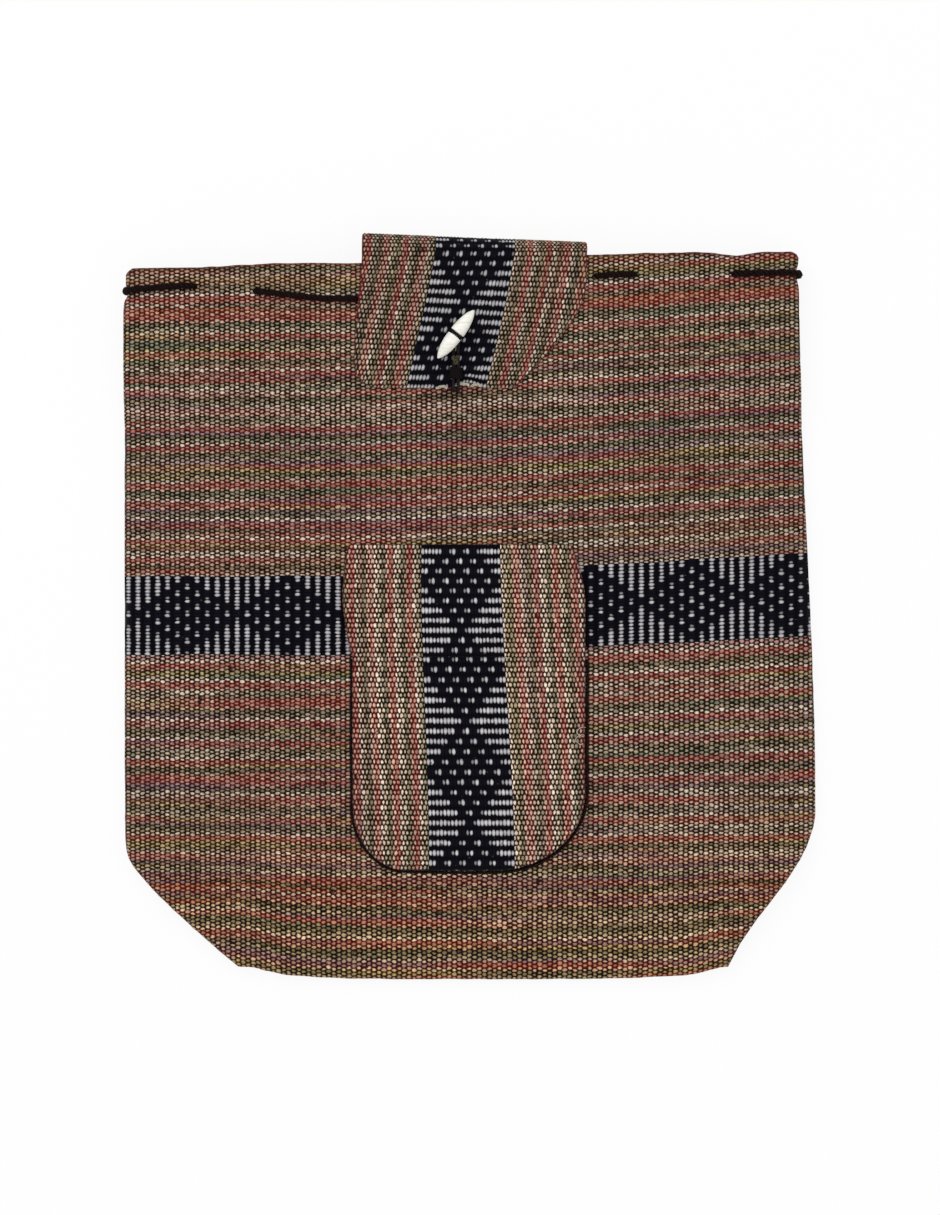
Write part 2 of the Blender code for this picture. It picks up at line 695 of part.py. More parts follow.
def make_strap(name, side, look):
    start = Vector(STRAP_TOP)
    along = Vector(STRAP_END) - start
    across = Vector((-along.y, along.x)).normalized() * (STRAP_WIDTH / 2)
    rows = []
    for share in [0.0] + steps(0.0, 1.0, 0.125):
        middle = start + along * share
        row = [middle + across * s for s in (1, 0.4, -0.4, -1)]
        rows.append([(side * p.x, p.y) for p in row])
    return sheet(name, rows, lambda x, y: 0.0, lambda x, y: STRAP_CLOTH, look)


def build():
    for old in list(bpy.data.objects):
        bpy.data.objects.remove(old, do_unlink=True)
    cloth = material("striped cloth", (0.153, 0.089, 0.063), 0.92)
    turned_cloth = material("striped cloth turned", (0.190, 0.120, 0.090), 0.92)
    cord_look = material("dark cord", (0.020, 0.010, 0.010), 0.75)
    bone = material("bone", (0.860, 0.840, 0.760), 0.35)
    back = sheet("back_panel", back_rows(), back_lift, back_top, cloth)
    front = sheet("front_panel", front_rows(), front_inner, front_outer, cloth)
    places = []
    for x in FRONT_SLITS:
        y = rim_cord_y(x)
        places.append((x, y, front_inner(x, y) + CLOTH / 2, slope_along(rim_cord_y, x)))
    cut_slits(front, places)
    places = []
    for side in (-1, 1):
        x, y, _ = back_cord_point(side, BACK_SLIT_X)
        ahead = back_cord_point(side, BACK_SLIT_X + 0.004)
        behind = back_cord_point(side, BACK_SLIT_X - 0.004)
        direction = math.atan2(ahead[1] - behind[1], ahead[0] - behind[0])
        places.append((x, y, back_lift(x, y) + CLOTH / 2, direction))
    cut_slits(back, places)
    sections = flap_sections()
    shell("main_flap", [a for a, _ in sections], [b for _, b in sections], turned_cloth)
    cord("drawstring", smooth_route(drawstring_route(), 0.00030), CORD_RADIUS, cord_look)
    make_knot(cord_look)
    make_toggle(bone)
    make_toggle_tie(cord_look)
    make_loop(cord_look)
    sheet("pocket", pocket_rows(POCKET_BOTTOM_Y, POCKET_TOP_Y), pocket_inner, pocket_outer,
          turned_cloth)
    sheet("pocket_flap", pocket_rows(POCKET_FLAP_END_Y, POCKET_FLAP_TOP_Y), pocket_flap_inner,
          pocket_flap_outer, turned_cloth)
    make_piping(cord_look)
    make_strap("strap_left", -1, cloth)
    make_strap("strap_right", 1, cloth)


build()
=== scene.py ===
import json
import math
import random

import bmesh
import bpy
from mathutils import Matrix, Vector, noise


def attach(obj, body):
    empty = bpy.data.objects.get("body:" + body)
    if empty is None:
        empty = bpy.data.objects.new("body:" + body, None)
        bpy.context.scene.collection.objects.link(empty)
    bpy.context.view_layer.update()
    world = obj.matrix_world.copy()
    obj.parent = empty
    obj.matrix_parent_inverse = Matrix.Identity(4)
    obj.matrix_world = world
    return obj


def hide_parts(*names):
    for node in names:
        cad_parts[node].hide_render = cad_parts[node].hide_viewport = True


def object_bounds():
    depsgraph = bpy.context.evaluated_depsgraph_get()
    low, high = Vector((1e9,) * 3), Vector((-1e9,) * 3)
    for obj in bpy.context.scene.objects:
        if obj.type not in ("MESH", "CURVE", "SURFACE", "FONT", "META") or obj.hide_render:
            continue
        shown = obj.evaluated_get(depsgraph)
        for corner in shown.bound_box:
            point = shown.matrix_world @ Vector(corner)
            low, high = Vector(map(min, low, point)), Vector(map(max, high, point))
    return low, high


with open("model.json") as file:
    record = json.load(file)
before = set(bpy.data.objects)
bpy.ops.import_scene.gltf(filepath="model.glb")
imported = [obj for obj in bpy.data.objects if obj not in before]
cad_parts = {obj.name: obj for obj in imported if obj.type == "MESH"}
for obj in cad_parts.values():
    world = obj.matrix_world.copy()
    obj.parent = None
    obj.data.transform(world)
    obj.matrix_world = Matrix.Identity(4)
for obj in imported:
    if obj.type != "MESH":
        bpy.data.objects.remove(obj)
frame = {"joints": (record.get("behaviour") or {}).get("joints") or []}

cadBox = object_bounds()
print("frame loaded")

# Flat hand-woven bag on its back: +Z is up out of the front, +Y runs to the mouth. Metres.
cloth = {"body": 0.0015, "flap": 0.0022, "strap": 0.0028, "gap": 0.0003}

body = {
    "halfWidth": 0.1914, "bottomY": -0.206, "mouthY": 0.191, "mouthTilt": 0.0045,
    "rightLean": 0.010, "leanStartY": -0.110,
    "leftCorner": (0.0717, 0.068, 1.15), "rightCorner": (0.0522, 0.095, 0.9),
    "bottomBow": 0.0045, "backRimInset": 0.0012,
    "leftPull": 0.0036, "rightPull": 0.0018, "pullReach": 0.0038, "pullAbove": 0.35,
    "cordBelowRim": 0.0135, "cordClimb": 0.006, "cordDip": (-0.066, 0.010, 0.058),
    "cordLeftDrop": (-0.150, 0.0030), "cornerSoft": 0.10, "cornerLift": (0.022, 0.0028),
    "edgeRoll": 0.007, "edgeRise": 0.005, "bulge": 0.0130, "bulgeReach": 0.4,
    "mouthBulge": 0.0120, "mouthBulgeFrom": 0.62, "liftFade": 0.045, "areaShare": 0.92,
    "rimCorner": 0.0030, "rimHump": (-0.108, 0.030, 0.0012), "rimPucker": (0.145, 0.009, -0.0020),
    # size and length of the unevenness
    "sideWaver": (0.0005, 0.009), "rimWaver": (0.0004, 0.006), "bottomWaver": (0.0005, 0.011),
    "crumple": (0.0007, 13, 31, 0.03),
}

# Threads: a bead is where one thread shows, a row is one thread wide
weave = {
    "bead": 0.00277, "row": 0.00205, "lowRow": 0.00213, "bottomRow": 0.00240,
    "bandLowY": -0.0260, "bandRow": 0.00188, "bandRows": 23,
    "crossX": -0.1277,            # a crossing of the diamonds on the body
    "rise": 0.0139, "riseStartX": -0.066, "risePower": 1.3, "riseFade": (-0.150, 0.180),
    "bottomRowsFrom": (-0.120, 0.050), "bottomFollow": 0.100, "stagger": 0.45,
    "relief": 0.00050, "reliefReach": 0.001, "reliefAtEdge": 0.3, "backStep": 12,
    "edgeRound": 0.0012, "waver": 0.0007, "waverReach": 0.012, "waverScale": (35, 60),
}


def clamp(t):
    return max(0.0, min(1.0, t))


def smooth(t):
    t = clamp(t)
    return t * t * (3 - 2 * t)


def rounded(t):
    # up from 0 to 1 like a quarter circle
    return math.sqrt(1 - (1 - clamp(t)) ** 2)


def bump(t):
    return math.exp(-t * t)


# Body outline and heights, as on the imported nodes

def leftCut(y):
    width, height, power = body["leftCorner"]
    share = (body["bottomY"] + height - y) / height
    return width * (0.5 * (share + math.hypot(share, body["cornerSoft"]))) ** power


def rightCut(y):
    width, height, turn = body["rightCorner"]
    share = max(0.0, (body["bottomY"] + height - y) / height)
    return width * (1 - math.cos(math.pi * turn * share)) / 2


def cordY(x):
    # the drawstring's line along the front
    place, depth, width = body["cordDip"]
    start, drop = body["cordLeftDrop"]
    dip = depth * bump((x - place) / width) + drop * smooth((start - x) / (start + body["halfWidth"]))
    climb = body["cordClimb"] * smooth((x + body["halfWidth"]) / (2 * body["halfWidth"]))
    return body["mouthY"] - body["cordBelowRim"] + climb - dip


def waver(place, uneven, seed):
    # hand-made edges are never quite straight
    size, length = uneven
    return size * noise.noise(Vector((place / length, seed, 0.5)))


def bodyLeft(y):
    above = (y - cordY(-body["halfWidth"])) / body["pullReach"]
    pull = body["leftPull"] * max(bump(above), body["pullAbove"] * smooth(above))
    pull += abs(waver(y, body["sideWaver"], 4.2))
    return -body["halfWidth"] + leftCut(y) + pull


def bodyRight(y):
    lean = smooth((y - body["leanStartY"]) / (body["mouthY"] - body["leanStartY"]))
    pull = body["rightPull"] * bump((y - cordY(body["halfWidth"])) / body["pullReach"])
    pull += abs(waver(y, body["sideWaver"], 8.4))
    return body["halfWidth"] - body["rightLean"] * lean - rightCut(y) - pull


def rimY(x):
    tilt = math.sin(0.5 * math.pi * max(-1.0, min(1.0, x / body["halfWidth"])))
    return body["mouthY"] + body["mouthTilt"] * tilt


def rimShape(x):
    # what the hand-made rim adds: a hump at the left and the drawstring's pucker
    added = (high * bump((x - place) / width) for place, width, high in (body["rimHump"], body["rimPucker"]))
    return sum(added) + waver(x, body["rimWaver"], 1.3)


def bottomEdge(x):
    half = body["halfWidth"] - body["leftCorner" if x < 0 else "rightCorner"][0]
    reach, high = body["cornerLift"]
    lift = high * smooth((abs(x) - half + reach) / (1.4 * reach)) + abs(waver(x, body["bottomWaver"], 6.1))
    return body["bottomY"] + body["bottomBow"] * min(1.0, abs(x) / half) ** 4 + lift


def edgeDistance(x, y):
    return max(0.0, min(x - bodyLeft(y), bodyRight(y) - x, y - bottomEdge(x)))


strap = {"width": 0.045, "top": (0.040, 0.128), "end": (0.122, -0.140), "firstThread": 24,
         "margin": 0.027, "ramp": 0.030, "bead": 0.0026, "row": 0.0021}
# radius is the one that the cloth makes room for, and fine the thinner one that is seen
drawstring = {
    "radius": 0.00225, "fine": 0.0019, "gap": 0.0006, "strands": 3, "twist": 0.0085, "loose": 0.25,
    "slits": (-0.1535, -0.1155, -0.0630, 0.0710, 0.0885, 0.147), "slitLength": 0.0120,
    "slitWidth": 0.0058, "slitSink": 0.0017, "sinkReach": (0.55, 0.62),
    "backSlitX": 0.140, "backY": 0.152, "backBend": (0.006, 0.042), "step": 0.0012,
    "frontStep": 0.0035, "frontInset": (0.012, 0.010), "backInset": 0.014, "backStep": 0.005,
    "knot": (0.012, 0.0085, 0.0072), "knotTwist": 0.006,
}


def liftZone(distance, height):
    return height * (1 - smooth((distance - strap["margin"]) / strap["ramp"]))


def backLift(x, y):
    # the back rides over the straps and the drawstring
    start = Vector(strap["top"])
    along = Vector(strap["end"]) - start
    offset = Vector((abs(x), y)) - start
    share = clamp(offset.dot(along) / along.length_squared)
    fromStrap = max(0.0, (offset - along * share).length - strap["width"] / 2)
    overCord = 2 * drawstring["radius"] + drawstring["gap"] + cloth["gap"]
    return max(liftZone(fromStrap, cloth["strap"] + cloth["gap"]),
               liftZone(max(0.0, drawstring["backY"] - y), overCord))


def backTop(x, y):
    return backLift(x, y) + cloth["body"]


def crumple(x, y, inside):
    high, coarse, fine, reach = body["crumple"]
    soft = noise.noise(Vector((x * coarse, y * coarse, 3.1)))
    soft += 0.5 * noise.noise(Vector((x * fine, y * fine, 7.7)))
    return high * soft * smooth(inside / reach)


def frontInner(x, y):
    inside = edgeDistance(x, y)
    across = min(1.0, abs(x) / body["halfWidth"])
    up = (y - body["bottomY"]) / (body["mouthY"] - body["bottomY"])
    high = (up - body["mouthBulgeFrom"]) / (1 - body["mouthBulgeFrom"])
    rise = body["bulge"] * smooth(up / body["bulgeReach"])
    rise += (body["mouthBulge"] - body["bulge"]) * smooth(high)
    roll = body["edgeRise"] * rounded(inside / body["edgeRoll"])
    base = cloth["body"] + cloth["gap"] + backLift(x, y) * math.exp(-inside / body["liftFade"])
    return base + roll + rise * (1 - across ** 3) + crumple(x, y, inside)


def frontOuter(x, y):
    return frontInner(x, y) + cloth["body"]


def slitSink(x, y):
    # the cloth gathers down where the drawstring goes through it
    along, above = drawstring["sinkReach"]
    up = (y - cordY(x)) / (above * drawstring["slitWidth"])
    sink = 0
    for slit in drawstring["slits"]:
        across = (x - slit) / (along * drawstring["slitLength"])
        sink = max(sink, bump(across ** 2 + up ** 2))
    return sink


# Threads

def bandDot(column, row):
    # the diamonds: runs of dots from both edges, and single dots between, each with a faint one beside it
    k = abs((column + 5) % 10 - 5)
    middle = weave["bandRows"] // 2
    b = abs(row - middle)
    if b >= 2 + 2 * k or b % 4 == (0 if k % 2 else 2):
        return 1.0
    return 0.6 if abs(row - 1 - middle) % 4 == (0 if k % 2 else 2) else 0.25


def beadRelief(u, v):
    column = round(u)
    if 0 <= v < weave["bandRows"]:
        fromColumn = max(0.0, math.cos(math.pi * (u / 2 - round(u / 2))))
        fromRow = math.cos(math.pi * (v % 1 - 0.5))
        return bandDot(round(u / 2), math.floor(v)) * fromColumn * fromRow
    lowered = v + weave["stagger"] * (column % 2)
    return math.cos(math.pi * (u - column)) ** 2 * math.cos(math.pi * (lowered % 1 - 0.5)) ** 2


def threadLift(u, v, inside):
    share = min(1.0, inside / weave["reliefReach"] + weave["reliefAtEdge"])
    return weave["relief"] * (beadRelief(u, v) - 0.5) * share


def heldBetween(x, v, left, right, row):
    # a place past the cloth's side comes back to it, with the thread count to match
    kept = max(left, min(right, x))
    return kept, v + (kept - x) / row


def threadPlace(v, bandRow, row):
    # distance of thread v from the middle of the band
    half = weave["bandRows"] / 2
    away = abs(v - half)
    distance = min(away, half) * bandRow + max(0.0, away - half) * row
    return math.copysign(distance, v - half)


def weaveCloth(name, columns, rows, place, look):
    # the outer face has every row, and the inner face has every sixth row again
    again = sorted(set(range(0, len(rows), weave["backStep"])) | {len(rows) - 1}, reverse=True)
    order = [(row, 0) for row in range(len(rows))] + [(row, 1) for row in again]
    shape = bmesh.new()
    thread = shape.verts.layers.float_vector.new("thread")
    raised = shape.verts.layers.float.new("raised")
    bmesh.ops.create_grid(shape, x_segments=len(columns) - 1, y_segments=len(order) - 1, size=0.5)
    known = {}
    for vert in shape.verts:
        column = round((vert.co.x + 0.5) * (len(columns) - 1))
        row, face = order[round((vert.co.y + 0.5) * (len(order) - 1))]
        if (column, row) not in known:
            known[column, row] = place(columns[column], rows[row])
        faces, u, v, lift, edge = known[column, row]
        vert.co = faces[face]
        vert[thread] = (u, v, 1000 * edge)
        vert[raised] = 0 if face else lift
    bmesh.ops.remove_doubles(shape, verts=shape.verts, dist=2e-6)
    bmesh.ops.holes_fill(shape, edges=[e for e in shape.edges if e.is_boundary], sides=0)
    bmesh.ops.recalc_face_normals(shape, faces=shape.faces)
    shape.normal_update()
    for vert, move in [(vert, vert.normal * vert[raised]) for vert in shape.verts]:
        vert.co += move
    shape.verts.layers.float.remove(raised)
    return addMesh(name, shape, look)


def addMesh(name, shape, look):
    mesh = bpy.data.meshes.new(name)
    shape.to_mesh(mesh)
    shape.free()
    mesh.shade_smooth()
    mesh.materials.append(look)
    print(name, len(mesh.polygons), "faces")
    return addObject(name, mesh)


def addObject(name, data):
    item = bpy.data.objects.new(name, data)
    bpy.context.scene.collection.objects.link(item)
    return item


def between(inner, outer, share, x, y):
    # both faces of a cloth, rounded together towards its edge
    middle = (inner + outer) / 2
    half = (outer - inner) / 2 * share
    return (Vector((x, y, middle + half)), Vector((x, y, middle - half)))


def edgeShare(distance):
    return rounded(distance / weave["edgeRound"])


# Materials

def paint(red, green, blue):
    # from 0 to 255 as on a screen
    values = (red, green, blue)
    return tuple(((c / 255 + 0.055) / 1.055) ** 2.4 if c > 10 else c / 3294 for c in values) + (1,)


def feed(tree, value, socket):
    if isinstance(value, bpy.types.NodeSocket):
        tree.links.new(value, socket)
    else:
        socket.default_value = value


def calc(tree, operation, *values):
    node = tree.nodes.new("ShaderNodeMath")
    node.operation = operation
    for value, socket in zip(values, node.inputs):
        feed(tree, value, socket)
    return node.outputs[0]


def plus(tree, *values):
    return calc(tree, "ADD", *values)


def minus(tree, *values):
    return calc(tree, "SUBTRACT", *values)


def times(tree, *values):
    return calc(tree, "MULTIPLY", *values)


def squared(tree, value, size):
    return calc(tree, "POWER", calc(tree, "DIVIDE", calc(tree, "ABSOLUTE", value), size), 2.0)


def blend(tree, share, first, second, kind="MIX"):
    node = tree.nodes.new("ShaderNodeMix")
    node.data_type = "RGBA"
    node.blend_type = kind
    feed(tree, share, node.inputs[0])
    feed(tree, first, node.inputs[6])
    feed(tree, second, node.inputs[7])
    return node.outputs[2]


def spread(tree, value, low, high, newLow=0.0, newHigh=1.0):
    node = tree.nodes.new("ShaderNodeMapRange")
    node.interpolation_type = "SMOOTHSTEP"
    for item, socket in zip((value, low, high, newLow, newHigh), node.inputs):
        feed(tree, item, socket)
    return node.outputs[0]


def cloudy(tree, place, scale, detail=2.0, rough=0.5):
    node = tree.nodes.new("ShaderNodeTexNoise")
    feed(tree, place, node.inputs["Vector"])
    node.inputs["Scale"].default_value = scale
    node.inputs["Detail"].default_value = detail
    node.inputs["Roughness"].default_value = rough
    return node.outputs["Fac"]


def chance(tree, place):
    node = tree.nodes.new("ShaderNodeTexWhiteNoise")
    node.noise_dimensions = "3D"
    feed(tree, place, node.inputs["Vector"])
    return node.outputs["Value"]


def point(tree, x, y, z=0.0):
    node = tree.nodes.new("ShaderNodeCombineXYZ")
    for value, socket in zip((x, y, z), node.inputs):
        feed(tree, value, socket)
    return node.outputs[0]


def swayed(tree, value, place, scale, size):
    # a thread count that drifts a little to and fro
    return calc(tree, "MULTIPLY_ADD", minus(tree, cloudy(tree, place, scale), 0.5), size, value)


def newGroup(name, inputs, outputs):
    # Thread and Place are vectors, and every other socket is a number
    group = bpy.data.node_groups.new(name, "ShaderNodeTree")
    for labels, way in ((inputs, "INPUT"), (outputs, "OUTPUT")):
        for label in labels:
            kind = "Vector" if label in ("Thread", "Place") else "Float"
            group.interface.new_socket(label, in_out=way, socket_type="NodeSocket" + kind)
    start = group.nodes.new("NodeGroupInput")
    end = group.nodes.new("NodeGroupOutput")
    return group, start.outputs, end.inputs


def useGroup(tree, group, **values):
    node = tree.nodes.new("ShaderNodeGroup")
    node.node_tree = group
    for label, value in values.items():
        feed(tree, value, node.inputs[label])
    return node.outputs


def makeThreadGroup():
    # splits thread coordinates into beads, every second column nearly half a row lower
    group, given, result = newGroup("threadBeads", ("Thread", "Seed"),
                                    ("Row", "Along", "Bead", "BeadChance", "RowChance", "Edge"))
    parts = group.nodes.new("ShaderNodeSeparateXYZ")
    feed(group, given["Thread"], parts.inputs[0])
    stretched = group.nodes.new("ShaderNodeVectorMath")
    stretched.operation = "ADD"
    feed(group, given["Thread"], stretched.inputs[0])
    stretched.inputs[1].default_value = (17.3, 5.1, 2.2)
    u = swayed(group, parts.outputs[0], given["Thread"], 0.9, 0.6)
    v = swayed(group, parts.outputs[1], stretched.outputs[0], 0.7, 0.7)
    column = calc(group, "ROUND", u)
    odd = calc(group, "FLOORED_MODULO", column, 2.0)
    lowered = calc(group, "MULTIPLY_ADD", odd, weave["stagger"], v)
    row = calc(group, "FLOOR", lowered)
    fromRow = minus(group, minus(group, lowered, row), 0.5)
    aside = minus(group, u, column)
    wide = squared(group, aside, 0.50)
    tall = squared(group, fromRow, 0.41)
    size = spread(group, chance(group, point(group, column, row, 7.7)), 0.0, 1.0, 0.80, 1.35)
    reach = times(group, plus(group, wide, tall), size)
    feed(group, row, result["Row"])
    feed(group, u, result["Along"])
    feed(group, spread(group, reach, 1.10, 0.05), result["Bead"])
    feed(group, chance(group, point(group, column, row, given["Seed"])), result["BeadChance"])
    seeded = plus(group, given["Seed"], 31.7)
    feed(group, chance(group, point(group, row, seeded, 4.4)), result["RowChance"])
    feed(group, parts.outputs[2], result["Edge"])
    return group


def makeBandGroup():
    # the woven diamonds: how far a place is in the band, and where its pale dots are
    group, given, result = newGroup("diamondBand", ("Thread", "Tall", "Faint"), ("Band", "Dot", "Ridge"))
    parts = group.nodes.new("ShaderNodeSeparateXYZ")
    feed(group, given["Thread"], parts.inputs[0])
    u = swayed(group, parts.outputs[0], given["Thread"], 0.8, 0.5)
    v = parts.outputs[1]
    inside = times(group, calc(group, "GREATER_THAN", v, 0.0),
                  calc(group, "LESS_THAN", v, float(weave["bandRows"])))
    row = calc(group, "FLOOR", v)
    fromRow = minus(group, minus(group, v, row), 0.5)
    halved = times(group, u, 0.5)
    column = calc(group, "ROUND", halved)
    aside = calc(group, "ABSOLUTE", minus(group, halved, column))
    turn = calc(group, "FLOORED_MODULO", plus(group, column, 5.0), 10.0)
    k = calc(group, "ABSOLUTE", minus(group, turn, 5.0))
    even = minus(group, 1.0, calc(group, "FLOORED_MODULO", k, 2.0))
    middle = float(weave["bandRows"] // 2)

    def single(away):
        turn = calc(group, "FLOORED_MODULO", away, 4.0)
        return calc(group, "COMPARE", turn, times(group, even, 2.0), 0.1)

    away = calc(group, "ABSOLUTE", minus(group, row, middle))
    run = calc(group, "GREATER_THAN", away, calc(group, "MULTIPLY_ADD", k, 2.0, 1.5))
    beside = calc(group, "ABSOLUTE", minus(group, minus(group, row, given["Faint"]), middle))
    bright = calc(group, "MAXIMUM", run, single(away))
    faint = times(group, single(beside), 0.42)
    wide = squared(group, aside, given["Tall"])
    tall = squared(group, fromRow, 0.50)
    size = spread(group, chance(group, point(group, column, row, 1.1)), 0.0, 1.0, 0.8, 1.3)
    reach = plus(group, wide, tall)
    shape = spread(group, times(group, reach, size), 1.25, -0.1)
    small = spread(group, reach, 0.7, 0.05)
    dot = calc(group, "MAXIMUM", times(group, bright, shape), times(group, faint, small))
    ridge = times(group, spread(group, aside, 0.5, 0.15), spread(group, tall, 1.0, 0.1))
    feed(group, inside, result["Band"])
    feed(group, dot, result["Dot"])
    feed(group, ridge, result["Ridge"])
    return group


def makeFibreGroup():
    # lint, uneven dye and fine fibres
    group, given, result = newGroup("clothFibres", ("Place",), ("Fibre", "Dye", "Lint", "Slub"))
    feed(group, cloudy(group, given["Place"], 2600.0), result["Fibre"])
    feed(group, cloudy(group, given["Place"], 26.0, 3.0), result["Dye"])
    specks = cloudy(group, given["Place"], 420.0, 3.0, 0.7)
    feed(group, spread(group, specks, 0.68, 0.80), result["Lint"])
    feed(group, spread(group, cloudy(group, given["Place"], 150.0, 1.0), 0.72, 0.78), result["Slub"])
    return group


threadBeads = makeThreadGroup()
diamondBand = makeBandGroup()
clothFibres = makeFibreGroup()

stripes = {
    "rows": ((146, 130, 106), (204, 164, 144), (184, 134, 118), (220, 202, 182), (192, 170, 144)),
    "grounds": ((14, 13, 5), (52, 17, 10), (94, 14, 11), (42, 17, 10), (20, 17, 6)),
    "strays": ((200, 140, 120), (166, 138, 140), (196, 176, 124), (136, 134, 110), (214, 198, 178)),
    "strayGrounds": ((88, 18, 11), (46, 16, 30), (42, 32, 8), (16, 20, 10), (38, 24, 12)),
    "accent": (180, 112, 84), "accentGround": (94, 22, 10), "underBand": (204, 142, 144),
    "low": (1.18, 1.06, 0.84, 1), "lowRows": (-30.0, -72.0),
    # edge is a dark red near the edges: partly the cloth's own dark rim row and selvedge, partly painted
    # shadow along the side edges of the flap, the pocket and its flap
    "slub": (12, 8, 6), "lint": (186, 174, 158), "edge": (84, 26, 30),
    "navy": (4, 4, 9), "navyRidge": (14, 13, 23), "dot": (196, 193, 196),
    # how much the brightness of a bead, a row, the dye and the fibres varies
    "beadLevels": (0.76, 1.14), "rowLevels": (0.87, 1.10), "dyeLevels": (0.90, 1.08),
    "fibreLevels": (0.86, 1.10),
}


def newLook(name):
    look = bpy.data.materials.new(name)
    look.use_nodes = True
    tree = look.node_tree
    return look, tree, tree.nodes["Principled BSDF"]


def finishLook(tree, shader, colour, rough, height, strength, distance):
    relief = tree.nodes.new("ShaderNodeBump")
    for label, value in (("Strength", strength), ("Distance", distance), ("Height", height)):
        feed(tree, value, relief.inputs[label])
    for label, value in (("Base Color", colour), ("Roughness", rough), ("Normal", relief.outputs[0])):
        feed(tree, value, shader.inputs[label])


def stepRamp(tree, value, tints):
    node = tree.nodes.new("ShaderNodeValToRGB")
    ramp = node.color_ramp
    ramp.interpolation = "CONSTANT"
    while len(ramp.elements) < len(tints):
        ramp.elements.new(0.5)
    for place, tint in enumerate(tints):
        ramp.elements[place].position = place / len(tints)
        ramp.elements[place].color = paint(*tint)
    feed(tree, value, node.inputs[0])
    return node.outputs[0]


def wovenCloth(name, seed, bright, astray, darkEdgeAndShadowWide, accentRow=None, underBand=False, dotTall=0.27,
               faintSide=1.0, rough=0.92):
    look, tree, shader = newLook(name)
    thread = tree.nodes.new("ShaderNodeAttribute")
    thread.attribute_name = "thread"
    place = tree.nodes.new("ShaderNodeTexCoord").outputs["Object"]
    beads = useGroup(tree, threadBeads, Thread=thread.outputs["Vector"], Seed=seed)
    band = useGroup(tree, diamondBand, Thread=thread.outputs["Vector"], Tall=dotTall, Faint=faintSide)
    fibres = useGroup(tree, clothFibres, Place=place)
    # five rows repeat, and some stray from them over part of their length
    step = calc(tree, "DIVIDE", calc(tree, "FLOORED_MODULO", beads["Row"], 5.0), 5.0)
    step = plus(tree, step, 0.05)
    own = stepRamp(tree, step, stripes["rows"])
    stray = stepRamp(tree, beads["RowChance"], stripes["strays"])
    drift = cloudy(tree, point(tree, times(tree, beads["Along"], 0.020),
                               times(tree, beads["Row"], 1.37), seed), 1.0)
    strayed = spread(tree, drift, 0.45, 0.62, 0.0, astray)
    tint = blend(tree, strayed, own, stray)
    ground = blend(tree, strayed, stepRamp(tree, step, stripes["grounds"]),
                   stepRamp(tree, beads["RowChance"], stripes["strayGrounds"]))
    if accentRow is not None:
        near = calc(tree, "COMPARE", beads["Row"], accentRow + 0.5, 0.6)
        near = times(tree, near, spread(tree, drift, 0.34, 0.60, 0.85, 0.5))
        tint = blend(tree, near, tint, paint(*stripes["accent"]))
        ground = blend(tree, near, ground, paint(*stripes["accentGround"]))
    if underBand:
        under = calc(tree, "COMPARE", beads["Row"], -1.0, 0.1)
        tint = blend(tree, times(tree, under, 0.8), tint, paint(*stripes["underBand"]))
    level = bright
    for value, low, high, levels in (
            (beads["BeadChance"], 0.0, 1.0, "beadLevels"), (beads["RowChance"], 0.0, 1.0, "rowLevels"),
            (fibres["Dye"], 0.3, 0.7, "dyeLevels"), (fibres["Fibre"], 0.3, 0.7, "fibreLevels")):
        level = times(tree, level, spread(tree, value, low, high, *stripes[levels]))
    grey = tree.nodes.new("ShaderNodeCombineColor")
    for socket in grey.inputs[:3]:
        feed(tree, level, socket)
    beadTint = blend(tree, 1.0, tint, grey.outputs[0], "MULTIPLY")
    lowDown = spread(tree, beads["Row"], *stripes["lowRows"])
    beadTint = blend(tree, lowDown, beadTint, stripes["low"], "MULTIPLY")
    striped = blend(tree, beads["Bead"], ground, beadTint)
    navy = blend(tree, band["Ridge"], paint(*stripes["navy"]), paint(*stripes["navyRidge"]))
    dots = blend(tree, 0.6, paint(*stripes["dot"]), grey.outputs[0], "MULTIPLY")
    banded = blend(tree, band["Dot"], navy, dots)
    colour = blend(tree, band["Band"], striped, banded)
    # painted shadow in part: the edge colour darkens a band along each edge, which is the dark rim row and
    # selvedge of the cloth and also painted shadow along the side edges of the flap, the pocket and its flap
    edge = spread(tree, beads["Edge"], darkEdgeAndShadowWide, 0.4 * darkEdgeAndShadowWide)
    marksAndEdgeShadow = ((fibres["Lint"], 0.30, "lint"), (fibres["Slub"], 0.75, "slub"), (edge, 0.65, "edge"))
    for share, most, mark in marksAndEdgeShadow:
        colour = blend(tree, times(tree, share, most), colour, paint(*stripes[mark]))
    uneven = spread(tree, fibres["Fibre"], 0.2, 0.8, rough - 0.05, rough + 0.06)
    ridges = calc(tree, "MAXIMUM", band["Dot"], times(tree, band["Ridge"], 0.5))
    height = blend(tree, band["Band"], beads["Bead"], ridges)
    raised = plus(tree, height, times(tree, fibres["Fibre"], 0.35))
    finishLook(tree, shader, colour, uneven, raised, 0.7, 0.0004)
    shader.inputs["Specular IOR Level"].default_value = 0.05
    shader.inputs["Sheen Weight"].default_value = 0.03
    return look


def fibreCord(name, dark, light, scale=900.0, rough=0.8):
    look, tree, shader = newLook(name)
    place = tree.nodes.new("ShaderNodeTexCoord").outputs["Object"]
    fibres = useGroup(tree, clothFibres, Place=place)
    strand = cloudy(tree, place, scale, 3.0)
    colour = blend(tree, spread(tree, strand, 0.35, 0.7), paint(*dark), paint(*light))
    uneven = spread(tree, strand, 0.2, 0.8, rough - 0.08, rough + 0.08)
    raised = plus(tree, strand, times(tree, fibres["Fibre"], 0.5))
    finishLook(tree, shader, colour, uneven, raised, 0.5, 0.0002)
    shader.inputs["Specular IOR Level"].default_value = 0.08
    return look


